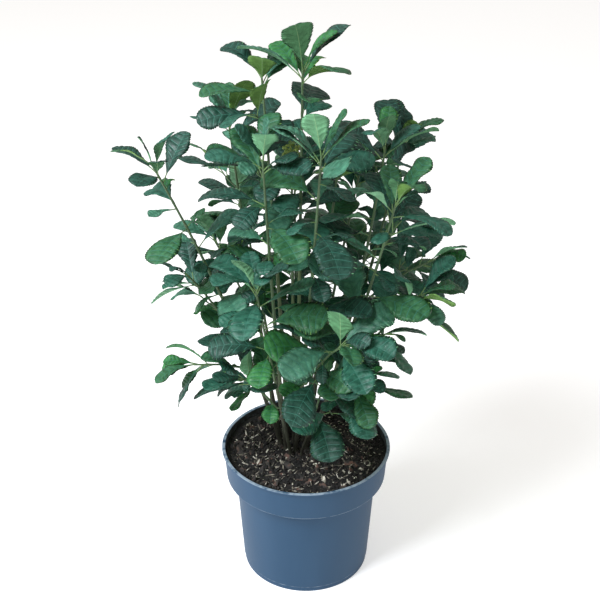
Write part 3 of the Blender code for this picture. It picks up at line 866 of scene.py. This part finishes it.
def grow_fine_leaves(mass, masses, fixed):
    """Young leaves at a tip without buds, and small ones down its stem, where they have room."""
    mass.first_small = len(mass.leaves)
    if mass.has_buds:
        return
    draw = random.Random(mass.name)
    azimuth = draw.uniform(0, math.tau)
    for back, size, steepness in YOUNG_LEAVES:
        azimuth += GOLDEN_TURN
        distance = mass.path.length - back * MM - TIP_END
        scale = size * mass.size * draw.uniform(*YOUNG_LEAF_SIZE)
        place = (distance, azimuth, math.radians(steepness), scale, TIP_ROUNDNESS)
        try_leaf(mass, mass.path, *place, draw, masses, fixed)
    distance = mass.path.length - 1.5 * SMALL_LEAF_GAP
    while distance > SIDE_START:
        azimuth += GOLDEN_TURN
        scale = mass.size * draw.uniform(*SMALL_LEAF_SIZE)
        steepness = math.radians(draw.uniform(*SIDE_STEEPNESS))
        place = (distance, azimuth, steepness, scale, SIDE_ROUNDNESS)
        try_leaf(mass, mass.path, *place, draw, masses, fixed)
        distance -= SMALL_LEAF_GAP * draw.uniform(*SIDE_SPACING)


GROWN = {"limbs": {}, "masses": []}


def grow_plant():
    """Grows every leaf by the rule, round the frame's pot, compost and lower stems."""
    limbs = {}
    masses = []
    nodes = frame["nodes"]
    fixed = [solid_of(nodes["pot"]), solid_of(nodes["soil"])]
    for cane in CANES:
        limb, stem = cane_paths(cane)
        limbs[cane.name] = limb
        has_buds = cane.name.startswith("bud")
        masses.append(Mass(cane.name + "_leaves", stem, cane.size, cane.seeds, has_buds))
    for shoot in SHOOTS:
        stem = shoot_path(shoot, limbs[shoot.parent])
        masses.append(Mass(shoot.name + "_leaves", stem, shoot.size, shoot.seeds))
    for name in limbs:
        fixed.append(solid_of(nodes[name + "_stem"]))
    for mass in masses:
        grow_tip(mass, masses, fixed)
    for mass in masses:
        grow_sides(mass, masses, fixed)
    for mass in masses:
        grow_fine_leaves(mass, masses, fixed)
    GROWN["limbs"] = limbs
    GROWN["masses"] = masses


def ring(centre, along, radii, points):
    """Adds a ring of points round a centre, square to a direction."""
    side = Vector((1, 0, 0)) if abs(along.x) < 0.8 else Vector((0, 1, 0))
    first = perpendicular(side, along)
    second = along.cross(first)
    for corner, radius in enumerate(radii):
        turn = math.tau * corner / len(radii)
        points.append(centre + first * radius * math.cos(turn) + second * radius * math.sin(turn))


def bark_tube(path, sides, spacing, roughness, sunk, swelling=0.0):
    """A closed tube along a path, uneven as bark is, thicker at its leaf scars."""
    rings = max(3, round(path.length / spacing))
    points = []
    for step in range(rings + 1):
        distance = path.length * step / rings
        centre, along, radius = path.at(distance)
        if step == 0:
            centre = centre - along * sunk
        scar = (path.length - distance) % INTERNODE / INTERNODE
        swollen = 1 + swelling * math.exp(-(((scar - 0.5) * 9) ** 2))
        radii = []
        for corner in range(sides):
            turn = math.tau * corner / sides
            spot = Vector((math.cos(turn), math.sin(turn), distance / (4 * radius)))
            bump = noise.noise(spot * 1.7 + centre * 3)
            radii.append(radius * swollen * (1 + roughness * bump))
        ring(centre, along, radii, points)
    faces = []
    for step in range(rings):
        for corner in range(sides):
            low = step * sides + corner
            next_low = step * sides + (corner + 1) % sides
            faces.append((low, next_low, next_low + sides, low + sides))
    tip, tip_along, tip_radius = path.at(path.length)
    faces.append(tuple(reversed(range(sides))))
    last = rings * sides
    points.append(tip + tip_along * tip_radius)
    for corner in range(sides):
        faces.append((last + corner, last + (corner + 1) % sides, len(points) - 1))
    return Shell(points, faces, [0] * len(faces))


def fine_blade(leaf, draw):
    """A leaf blade as a thin closed shell: folded at the midrib, veined, with a toothed edge."""
    line = midrib(leaf, MIDRIB_STEPS)
    fold = math.tan(math.radians(draw.uniform(*LEAF_FOLD)))
    wave_start = draw.uniform(0, math.tau)
    wave_turns = draw.uniform(*WAVE_TURNS)
    curl = TIP_CURL * draw.uniform(*CURL_TIMES)
    rows = VEIN_PAIRS * len(VEIN_STEPS)
    points = []
    columns = 2 * len(BLADE_COLUMNS) + 2
    for row in range(rows):
        pair, step = divmod(row, len(VEIN_STEPS))
        start = 1 - (1 - (pair + VEIN_STEPS[step]) / VEIN_PAIRS) ** ROW_CROWDING
        upper = []
        lower = []
        for side in (-1, 1):
            for column in (0, *BLADE_COLUMNS):
                share = start + VEIN_SWEEP * column * (1 - start) * min(1, start * 3)
                spot = (STALK_SHARE + (1 - STALK_SHARE) * share) * MIDRIB_STEPS
                near = min(int(spot), MIDRIB_STEPS - 1)
                centre = line[near][0].lerp(line[near + 1][0], spot - near)
                along = line[near][1].lerp(line[near + 1][1], spot - near).normalized()
                normal = perpendicular(line[near][2], along)
                across = along.cross(normal)
                half = max(blade_profile(share) * leaf.width * FULLNESS / 2, RIB_WIDTH)
                rib = RIB_WIDTH * (1 - RIB_TAPER * share) / 2
                centre = centre - normal * curl * max(0, share - CURL_FROM) ** 2
                ripple = math.sin(share * wave_turns * 1.3 + wave_start + side)
                edge = half * (1 + OUTLINE_WAVE * ripple)
                if share > TOOTHED_FROM:
                    edge = max(edge - TOOTH_DEPTH * TOOTH_STEPS[step], rib * 1.5)
                width = rib if column == 0 else rib + (edge - rib) * column
                out = column * half / leaf.width * 2
                height = half * (fold * column - EDGE_ROLL * column * column)
                height += EDGE_WAVE * out * column * math.sin(share * wave_turns + wave_start * side)
                height += VEIN_DEPTH * VEIN_SWELL[step] * min(1, 4 * out) * (1 - column**4)
                place = centre + across * side * width + normal * height
                skin = LEAF_SKIN / 2 if column < 1 else 0
                depth = RIB_DEPTH * (1 - share) if column == 0 else 0
                upper.append(place + normal * (skin - depth * 0.3))
                lower.append(place - normal * (skin + depth))
        count = len(BLADE_COLUMNS) + 1
        upper = upper[count - 1 :: -1] + upper[count:]
        lower = lower[count - 1 :: -1] + lower[count:]
        points += upper + lower[1:-1]
    tip_centre, tip_along, tip_normal = line[-1]
    points.append(tip_centre + tip_along * LEAF_SKIN - tip_normal * curl * (1 - CURL_FROM) ** 2)
    tip = len(points) - 1
    width = 2 * columns - 2
    uppers = list(range(columns))
    lowers = [0, *range(columns, width), columns - 1]
    faces = []
    kinds = []
    middle = columns // 2 - 1
    for row in range(rows):
        start = row * width
        on_vein = row % len(VEIN_STEPS) == 0 and row
        for i in range(columns - 1):
            kind = 2 if i == middle or on_vein and 0 < i < columns - 2 else 0
            a, b = start + uppers[i], start + uppers[i + 1]
            c, d = start + lowers[i], start + lowers[i + 1]
            if row == rows - 1:
                faces += [(a, b, tip), (d, c, tip)]
            else:
                faces += [(a, b, b + width, a + width), (d, c, c + width, d + width)]
            kinds += [kind, 3 if i == middle else 1]
    faces.append(tuple(reversed(uppers + lowers[-2:0:-1])))
    kinds.append(1)
    return Shell(points, faces, kinds)


def petiole(leaf, size):
    """The stalk of a leaf, from inside its stem to the foot of the blade."""
    line = midrib(leaf, MIDRIB_STEPS)
    last = round(MIDRIB_STEPS * STALK_SHARE) + 2
    points = [place[0] for place in line[: last + 1 : 2]]
    radii = [size * (1 - 0.25 * i / len(points)) for i in range(len(points))]
    return bark_tube(Path(points, radii), *STALK_TUBE)


def leaf_nodes(masses):
    return [mass.name for mass in masses]


def deal_shades(masses):
    """Gives each leaf one of the plain leaf colours, by spray height and a seeded draw."""
    dealt = {shade.name: [] for shade in SHADES}
    for mass in masses:
        draw = random.Random(mass.name + " colours")
        low = mass.path.points[-1].z < LOW_CROWN
        weights = [shade.share_low if low else shade.share_high for shade in SHADES]
        for i, leaf in enumerate(mass.leaves):
            shade = draw.choices(SHADES, weights)[0]
            if i >= mass.first_small and draw.random() < YOUNG_GREEN_SHARE:
                shade = SHADES[-1]
            dealt[shade.name].append((leaf, draw.random()))
    return dealt


def scatter_tree(name):
    """Geometry nodes that scatter copies of one shape over a surface, from named inputs."""
    tree = bpy.data.node_groups.new(name, "GeometryNodeTree")
    sockets = (
        ("Geometry", "NodeSocketGeometry"),
        ("Shape", "NodeSocketObject"),
        ("Density", "NodeSocketFloat"),
        ("Smallest", "NodeSocketFloat"),
        ("Largest", "NodeSocketFloat"),
        ("Tilt", "NodeSocketFloat"),
        ("Seed", "NodeSocketInt"),
        ("Material", "NodeSocketMaterial"),
    )
    for socket, kind in sockets:
        tree.interface.new_socket(socket, in_out="INPUT", socket_type=kind)
    tree.interface.new_socket("Geometry", in_out="OUTPUT", socket_type="NodeSocketGeometry")
    given = add_node(tree, "NodeGroupInput").outputs
    spread = {"Mesh": given["Geometry"], "Density": given["Density"], "Seed": given["Seed"]}
    spots = add_node(tree, "GeometryNodeDistributePointsOnFaces", spread)
    shape = add_node(tree, "GeometryNodeObjectInfo", {"Object": given["Shape"]})
    low = add_node(tree, "ShaderNodeCombineXYZ", {"Z": -math.pi})
    most = {"X": given["Tilt"], "Y": given["Tilt"], "Z": math.pi}
    high = add_node(tree, "ShaderNodeCombineXYZ", most)
    turn = {0: low.outputs[0], 1: high.outputs[0], "Seed": given["Seed"]}
    turn = add_node(tree, "FunctionNodeRandomValue", turn, data_type="FLOAT_VECTOR")
    turned_to = {"Rotation": spots.outputs["Rotation"], "Rotate By": turn.outputs["Value"]}
    turned_to = add_node(tree, "FunctionNodeRotateRotation", turned_to, rotation_space="LOCAL")
    size = {2: given["Smallest"], 3: given["Largest"], "Seed": given["Seed"]}
    size = add_node(tree, "FunctionNodeRandomValue", size, data_type="FLOAT")
    placed = {
        "Points": spots.outputs["Points"],
        "Instance": shape.outputs["Geometry"],
        "Rotation": turned_to.outputs[0],
        "Scale": size.outputs[1],
    }
    placed = add_node(tree, "GeometryNodeInstanceOnPoints", placed)
    real = add_node(tree, "GeometryNodeRealizeInstances", {"Geometry": placed.outputs[0]})
    dressed = {"Geometry": real.outputs[0], "Material": given["Material"]}
    dressed = add_node(tree, "GeometryNodeSetMaterial", dressed)
    add_node(tree, "NodeGroupOutput", {0: dressed.outputs[0]})
    return tree


def scattered(name, surface, shape, tree, slot, **inputs):
    """A plain mesh of the copies that the tree scatters over a surface."""
    holder = bpy.data.objects.new(name, surface.data.copy())
    bpy.context.scene.collection.objects.link(holder)
    modifier = holder.modifiers.new("Scatter", "NODES")
    modifier.node_group = tree
    inputs["Shape"] = shape
    for item in tree.interface.items_tree:
        if item.in_out == "INPUT" and item.name in inputs:
            modifier[item.identifier] = inputs[item.name]
    mesh = evaluated_mesh(holder)
    holder.modifiers.clear()
    holder.data = mesh
    if not mesh.polygons:
        raise RuntimeError(name + " came out empty")
    return settled(holder, [])


def scatter_bed(crust, margin):
    """The top of the compost without a margin along the wall, which keeps the chips inside the pot."""
    bed = bpy.data.objects.new("scatter_bed", crust.data.copy())
    shape = bmesh.new()
    shape.from_mesh(bed.data)
    reach = max(vertex.co.xy.length for vertex in shape.verts) - margin
    outside = [
        face
        for face in shape.faces
        if face.normal.z < STEEP_BED or face.calc_center_median().xy.length > reach
    ]
    bmesh.ops.delete(shape, geom=outside, context="FACES")
    shape.to_mesh(bed.data)
    shape.free()
    return bed


def shape_object(name, shape):
    """An object outside the scene from a shape, which is then freed."""
    mesh = bpy.data.meshes.new(name)
    shape.to_mesh(mesh)
    shape.free()
    return bpy.data.objects.new(name, mesh)


def chip_shape(name, length, width, height, seed):
    """A rough lump of these sizes, as a scatter shape that doesn't render."""
    draw = random.Random(seed)
    shape = bmesh.new()
    bmesh.ops.create_icosphere(shape, subdivisions=1, radius=0.5)
    for vertex in shape.verts:
        x, y, z = vertex.co * draw.uniform(0.8, 1.2)
        square = 1 / max(abs(x), abs(y), abs(z), 0.3) * 0.5
        vertex.co = Vector((x * length, y * width, z * height)) * (0.4 + 0.6 * square)
    return shape_object(name, shape)


def bud_shape_on_stalk(name):
    """A flower bud or green fruit on its thin stalk, pointing up."""
    shape = bmesh.new()
    bmesh.ops.create_icosphere(shape, subdivisions=2, radius=BUD_RADIUS)
    for vertex in shape.verts:
        vertex.co.z = vertex.co.z * BUD_STRETCH + BUD_HEIGHT
    made = bmesh.ops.create_cone(
        shape,
        cap_ends=True,
        segments=5,
        radius1=0.35 * MM,
        radius2=0.3 * MM,
        depth=BUD_STALK_LENGTH,
    )
    for vertex in made["verts"]:
        vertex.co.z += 0.5 * MM
    return shape_object(name, shape)


def rounded(profile, radius):
    """A profile with its corners rounded off by this radius where its sides are long enough."""
    made = [profile[0]]
    for before, corner, after in zip(profile, profile[1:], profile[2:]):
        a, b, c = Vector(before), Vector(corner), Vector(after)
        cut = min(radius, (a - b).length * 0.45, (c - b).length * 0.45)
        start = b + (a - b).normalized() * cut
        end = b + (c - b).normalized() * cut
        for step in range(CORNER_STEPS + 1):
            point = arc(start, b, end, step / CORNER_STEPS)
            made.append((point.x, point.y))
    return made + [profile[-1]]


def fine_pot(settings):
    """The pot with its lip, collar, tapering wall, foot ring and drain holes."""
    foot_radius = BODY_FOOT_RADIUS - FOOT_INSET
    floor_top = FLOOR_RISE + FLOOR_THICKNESS
    outside = [
        (LIP_RADIUS, POT_HEIGHT),
        (LIP_RADIUS, POT_HEIGHT - LIP_HEIGHT),
        *wall_profile(0, POT_HEIGHT - LIP_HEIGHT - 0.4 * MM, FOOT_HEIGHT),
        (foot_radius, FOOT_HEIGHT - 1 * MM),
        (foot_radius - 0.3 * MM, 0),
        (foot_radius - FOOT_RING_WIDTH, 0),
        (foot_radius - FOOT_RING_WIDTH - 1 * MM, FLOOR_RISE),
        (CENTRE_PAD_RADIUS + 1 * MM, FLOOR_RISE),
        (CENTRE_PAD_RADIUS, 0),
        (0, 0),
    ]
    inside = [(0, floor_top), *reversed(wall_profile(POT_WALL, POT_HEIGHT, floor_top))]
    profile = rounded([*inside, *outside], settings.edge_radius)
    mesh = bpy.data.meshes.new("pot_profile")
    edges = [(i, i + 1) for i in range(len(profile) - 1)]
    mesh.from_pydata([(radius, 0, height) for radius, height in profile], edges, [])
    thing = bpy.data.objects.new("pot_shell", mesh)
    bpy.context.scene.collection.objects.link(thing)
    screw = thing.modifiers.new("Turn", "SCREW")
    screw.steps = screw.render_steps = settings.steps
    screw.use_merge_vertices = True
    screw.merge_threshold = 0.01 * MM
    cutters = bpy.data.collections.new("drain_hole_cutters")
    for hole in range(DRAIN_HOLES):
        angle = math.tau * (hole + 0.5) / DRAIN_HOLES
        shape = bmesh.new()
        bmesh.ops.create_cone(
            shape,
            cap_ends=True,
            segments=32,
            radius1=DRAIN_HOLE_RADIUS,
            radius2=DRAIN_HOLE_RADIUS,
            depth=4 * floor_top,
        )
        centre = Vector((math.cos(angle), math.sin(angle), 0)) * DRAIN_CIRCLE_RADIUS
        bmesh.ops.translate(shape, verts=shape.verts, vec=centre + Vector((0, 0, floor_top / 2)))
        cutters.objects.link(shape_object(f"drain_hole_{hole + 1}", shape))
    cut = thing.modifiers.new("Drain holes", "BOOLEAN")
    cut.operand_type = "COLLECTION"
    cut.collection = cutters
    mesh = evaluated_mesh(thing)
    thing.modifiers.clear()
    thing.data = mesh
    for cutter in list(cutters.objects):
        bpy.data.objects.remove(cutter)
    bpy.data.collections.remove(cutters)
    shape = bmesh.new()
    shape.from_mesh(mesh)
    bmesh.ops.recalc_face_normals(shape, faces=shape.faces)
    shape.to_mesh(mesh)
    shape.free()
    mesh.shade_smooth()
    mesh.set_sharp_from_angle(angle=SHARP_EDGE)
    return thing


def compost_surface(settings):
    """The compost with a crumbly top, closed underneath inside the pot."""
    inset = POT_WALL + GAP
    bottom = FLOOR_RISE + FLOOR_THICKNESS + GAP
    wall = wall_profile(inset, SOIL_TOP - SOIL_EDGE_DROP, bottom)
    edge = wall[0][0]
    points = [Vector((0, 0, SOIL_TOP))]
    rings = CRUST_RINGS
    spokes = CRUST_SPOKES
    for step in range(1, rings + 1):
        radius = edge * step / rings
        fall = max(0, (radius - SOIL_FLAT_RADIUS) / (edge - SOIL_FLAT_RADIUS))
        for spoke in range(spokes):
            turn = math.tau * spoke / spokes
            x = radius * math.cos(turn)
            y = radius * math.sin(turn)
            rough = sum(noise.noise(Vector((x, y, z)) * count) * high for count, z, high in CRUST_WAVES)
            lift = rough * settings.roughness * MM * min(1, (rings - step) / 3 + 0.2)
            climb = max(0, step / rings - CRUST_START) / (1 - CRUST_START)
            lift += CRUST_RISE * climb**2
            points.append(Vector((x, y, SOIL_TOP - SOIL_EDGE_DROP * fall + lift)))
    for radius, height in wall[1:]:
        for spoke in range(spokes):
            turn = math.tau * spoke / spokes
            points.append(Vector((radius * math.cos(turn), radius * math.sin(turn), height)))
    faces = [(0, 1 + spoke, 1 + (spoke + 1) % spokes) for spoke in range(spokes)]
    for step in range(rings + len(wall) - 2):
        for spoke in range(spokes):
            a = 1 + step * spokes + spoke
            b = 1 + step * spokes + (spoke + 1) % spokes
            faces.append((a, a + spokes, b + spokes, b))
    faces.append(tuple(reversed(range(len(points) - spokes, len(points)))))
    return Shell(points, faces, [0] * len(faces))


def colour_property(name, description, code):
    return FloatVectorProperty(
        name=name, description=description, default=linear(code), size=4, min=0, max=1, subtype="COLOR"
    )


class PotSettings(PropertyGroup):
    colour: colour_property("Pot colour", "Base colour of the moulded plastic", "#264560")
    edge_radius: FloatProperty(
        name="Edge radius", description="Rounding of the lip and steps", default=0.8 * MM, unit="LENGTH"
    )
    steps: IntProperty(name="Steps", description="Sides of the turned pot", default=128, min=32)


class CompostSettings(PropertyGroup):
    colour: colour_property("Compost colour", "Base colour of the damp peat", "#1d1916")
    roughness: FloatProperty(
        name="Roughness", description="Height of the crumbs in millimetres", default=1.9, min=0
    )
    slivers: FloatProperty(
        name="Slivers", description="Pale wood slivers in a square metre", default=11500
    )
    flakes: FloatProperty(name="Flakes", description="Bark flakes in a square metre", default=5500)
    crumbs: FloatProperty(name="Crumbs", description="Dark crumbs in a square metre", default=36000)


class PlantSettings(PropertyGroup):
    bark_colour: colour_property("Bark colour", "Base colour of the old stems", "#35372a")
    shoot_colour: colour_property("Shoot colour", "Colour of this year's shoots", "#496240")
    petiole_colour: colour_property("Leaf stalk colour", "Colour of the leaf stalks", "#66854f")
    rib_colour: colour_property("Midrib colour", "Colour of the midribs above", "#30695a")
    lower_rib_colour: colour_property("Lower midrib colour", "Colour of the midribs below", "#97bb86")
    bud_colour: colour_property("Bud colour", "Colour of the flower buds", "#8ea353")
    petiole_radius: FloatProperty(
        name="Leaf stalk radius", description="Radius at its foot", default=0.75 * MM, unit="LENGTH"
    )


class StageSettings(PropertyGroup):
    floor_colour: colour_property("Floor colour", "Colour of the studio floor", "#f4f4f4")
    floor_glow: FloatProperty(
        name="Floor glow", description="Light from under the floor sheet", default=0.45
    )
    key_power: FloatProperty(
        name="Key light", description="Power of the large soft light", default=81, unit="POWER"
    )
    sky: FloatProperty(name="Fill", description="Strength of the white surround", default=0.5)
    lens: FloatProperty(name="Lens", description="Focal length", default=65.2, unit="CAMERA")


class SERVICEBERRY_OT_grow(Operator):
    """Grow the leaves and twigs by the seeded rule"""

    bl_idname = "serviceberry.grow"
    bl_label = "Grow plant"

    def execute(self, context):
        grow_plant()
        return {"FINISHED"}


class SERVICEBERRY_OT_pot(Operator):
    """Make the moulded pot"""

    bl_idname = "serviceberry.pot"
    bl_label = "Make pot"

    def execute(self, context):
        settings = context.scene.serviceberry_pot
        pot = fine_pot(settings)
        pot.data.materials.clear()
        pot.data.materials.append(pot_material(tuple(settings.colour)))
        pot.data.materials.append(shade_painted_wall_material())
        # Inward faces of the wall above the floor take the darkened material: painted shade inside the
        # pot
        for face in pot.data.polygons:
            inward = face.normal.x * face.center.x + face.normal.y * face.center.y < 0
            high = FLOOR_RISE + FLOOR_THICKNESS < face.center.z < POT_HEIGHT - 1.5 * MM
            face.material_index = int(inward and high)
        settled(pot, ["pot"])
        return {"FINISHED"}


class SERVICEBERRY_OT_compost(Operator):
    """Make the compost and scatter its slivers, flakes and crumbs"""

    bl_idname = "serviceberry.compost"
    bl_label = "Make compost"

    def execute(self, context):
        settings = context.scene.serviceberry_compost
        material = compost_material(tuple(settings.colour))
        crust = joined("compost", [compost_surface(settings)], [material], ["soil"])
        tree = scatter_tree("scatter_over_surface")
        for chip in CHIPS:
            shape = chip_shape(chip.name + "_shape", *(size * MM for size in chip.sizes), chip.seed)
            smallest, largest = chip.scales
            density = getattr(settings, chip.kind) * chip.share
            inputs = {"Density": density, "Smallest": smallest, "Largest": largest}
            material = chip_material(chip.name, chip.colours)
            inputs.update({"Tilt": chip.tilt, "Seed": chip.seed, "Material": material})
            bed = scatter_bed(crust, chip.sizes[0] * MM * largest / 2)
            scattered(chip.name, bed, shape, tree, "compost", **inputs)
        return {"FINISHED"}


class SERVICEBERRY_OT_stems(Operator):
    """Make the lower stems with their bark"""

    bl_idname = "serviceberry.stems"
    bl_label = "Make stems"

    def execute(self, context):
        settings = context.scene.serviceberry_plant
        limbs = GROWN["limbs"]
        shells = [bark_tube(limb, *STEM_TUBE) for limb in limbs.values()]
        material = bark_material(tuple(settings.bark_colour))
        joined("stems", shells, [material], [name + "_stem" for name in limbs])
        return {"FINISHED"}


class SERVICEBERRY_OT_twigs(Operator):
    """Make the upper stems, twigs and leaf stalks"""

    bl_idname = "serviceberry.twigs"
    bl_label = "Make twigs"

    def execute(self, context):
        settings = context.scene.serviceberry_plant
        masses = GROWN["masses"]
        shells = []
        stalks = []
        for mass in masses:
            shells.append(bark_tube(mass.path, *SHOOT_TUBE))
            shells += [bark_tube(twig, *TWIG_TUBE) for twig in mass.twigs]
            stalks += [petiole(leaf, settings.petiole_radius) for leaf in mass.leaves]
        material = grained_material("green_shoot_bark", tuple(settings.shoot_colour), 0.5)
        joined("twigs", shells, [material], leaf_nodes(masses))
        skin = grained_material("leaf_stalk_skin", tuple(settings.petiole_colour), 0.5)
        joined("leaf_stalks", stalks, [skin], [])
        return {"FINISHED"}


class SERVICEBERRY_OT_leaves(Operator):
    """Make the leaves, one piece for each plain colour"""

    bl_idname = "serviceberry.leaves"
    bl_label = "Make leaves"

    def execute(self, context):
        settings = context.scene.serviceberry_plant
        masses = GROWN["masses"]
        ribs = [
            grained_material("sunk_midrib", tuple(settings.rib_colour), 0.55),
            grained_material("raised_midrib", tuple(settings.lower_rib_colour), 0.55),
        ]
        dealt = deal_shades(masses)
        for shade in SHADES:
            shells = [fine_blade(leaf, random.Random(seed)) for leaf, seed in dealt[shade.name]]
            materials = [leaf_top_material(shade), leaf_underside_material(shade), *ribs]
            joined("leaves_" + shade.name, shells, materials, leaf_nodes(masses))
        return {"FINISHED"}


class SERVICEBERRY_OT_buds(Operator):
    """Make the clusters of flower buds"""

    bl_idname = "serviceberry.buds"
    bl_label = "Make bud clusters"

    def execute(self, context):
        settings = context.scene.serviceberry_plant
        tree = scatter_tree("scatter_buds")
        shape = bud_shape_on_stalk("bud_on_stalk")
        bud = grained_material("flower_bud_skin", tuple(settings.bud_colour), 0.55, 0.8 * MM)
        for mass in GROWN["masses"]:
            if not mass.has_buds:
                continue
            core = bmesh.new()
            bmesh.ops.create_icosphere(core, subdivisions=3, radius=BUD_CORE_RADIUS)
            bmesh.ops.translate(core, verts=core.verts, vec=mass.bud_centre())
            surface = shape_object("bud_core", core)
            name = mass.name.replace("_leaves", "_cluster")
            inputs = {**BUD_SPREAD, "Seed": len(mass.leaves), "Material": bud}
            scattered(name, surface, shape, tree, "foliage", **inputs)
        return {"FINISHED"}


class SERVICEBERRY_OT_stage(Operator):
    """Make the floor, the soft light and the camera"""

    bl_idname = "serviceberry.stage"
    bl_label = "Make stage"

    def execute(self, context):
        settings = context.scene.serviceberry_stage
        scene = context.scene
        corners = [(-1, -1), (1, -1), (1, 1), (-1, 1)]
        corners = [(x * FLOOR_REACH, y * FLOOR_REACH, -FLOOR_DROP) for x, y in corners]
        mesh = bpy.data.meshes.new("studio_floor")
        mesh.from_pydata(corners, [], [(0, 1, 2, 3)])
        floor = bpy.data.objects.new("studio_floor", mesh)
        colour = tuple(settings.floor_colour)
        glow = {"Emission_Color": linear("#ffffff"), "Emission_Strength": settings.floor_glow}
        paint, _, _ = plain_material("lit_floor_sheet", colour, Roughness=0.9, **glow)
        mesh.materials.append(paint)
        scene.collection.objects.link(floor)
        world = bpy.data.worlds.new("studio")
        world.use_nodes = True
        sky = world.node_tree.nodes["Background"]
        sky.inputs["Color"].default_value = linear(SKY_COLOUR)
        sky.inputs["Strength"].default_value = settings.sky
        scene.world = world
        lamp = bpy.data.lights.new("key", "AREA")
        lamp.energy = settings.key_power
        lamp.color = linear(KEY_COLOUR)[:3]
        lamp.size = KEY_SIZE
        key = bpy.data.objects.new("key", lamp)
        key.location = KEY_PLACE
        aim = KEY_TARGET - KEY_PLACE
        key.rotation_euler = aim.to_track_quat("-Z", "Y").to_euler()
        scene.collection.objects.link(key)
        view = bpy.data.cameras.new("camera")
        view.lens = settings.lens
        view.sensor_width = SENSOR_WIDTH
        view.clip_end = FAR_CLIP
        camera = bpy.data.objects.new("camera", view)
        camera.location = CAMERA_PLACE
        camera.rotation_euler = (CAMERA_PITCH, 0, 0)
        scene.collection.objects.link(camera)
        scene.camera = camera
        scene.view_settings.view_transform = "Standard"
        return {"FINISHED"}


OPERATORS = (
    SERVICEBERRY_OT_grow,
    SERVICEBERRY_OT_pot,
    SERVICEBERRY_OT_compost,
    SERVICEBERRY_OT_stems,
    SERVICEBERRY_OT_twigs,
    SERVICEBERRY_OT_leaves,
    SERVICEBERRY_OT_buds,
    SERVICEBERRY_OT_stage,
)


class SERVICEBERRY_PT_panel(Panel):
    """Sizes, colours and steps of the potted serviceberry"""

    bl_idname = "SERVICEBERRY_PT_panel"
    bl_label = "Potted serviceberry"
    bl_space_type = "VIEW_3D"
    bl_region_type = "UI"
    bl_category = "Serviceberry"

    def draw(self, context):
        for name in SETTINGS:
            settings = getattr(context.scene, name)
            for key in settings.__annotations__:
                self.layout.prop(settings, key)
        for operator in OPERATORS:
            self.layout.operator(operator.bl_idname)


SETTINGS = {
    "serviceberry_pot": PotSettings,
    "serviceberry_compost": CompostSettings,
    "serviceberry_plant": PlantSettings,
    "serviceberry_stage": StageSettings,
}


def register():
    for name, group in SETTINGS.items():
        bpy.utils.register_class(group)
        setattr(bpy.types.Scene, name, PointerProperty(type=group))
    for piece in (*OPERATORS, SERVICEBERRY_PT_panel):
        bpy.utils.register_class(piece)


def unregister():
    for piece in (SERVICEBERRY_PT_panel, *reversed(OPERATORS)):
        bpy.utils.unregister_class(piece)
    for name, group in SETTINGS.items():
        delattr(bpy.types.Scene, name)
        bpy.utils.unregister_class(group)


def main():
    register()
    for operator in OPERATORS:
        getattr(bpy.ops.serviceberry, operator.bl_idname.split(".")[1])()


if __name__ == "__main__":
    main()
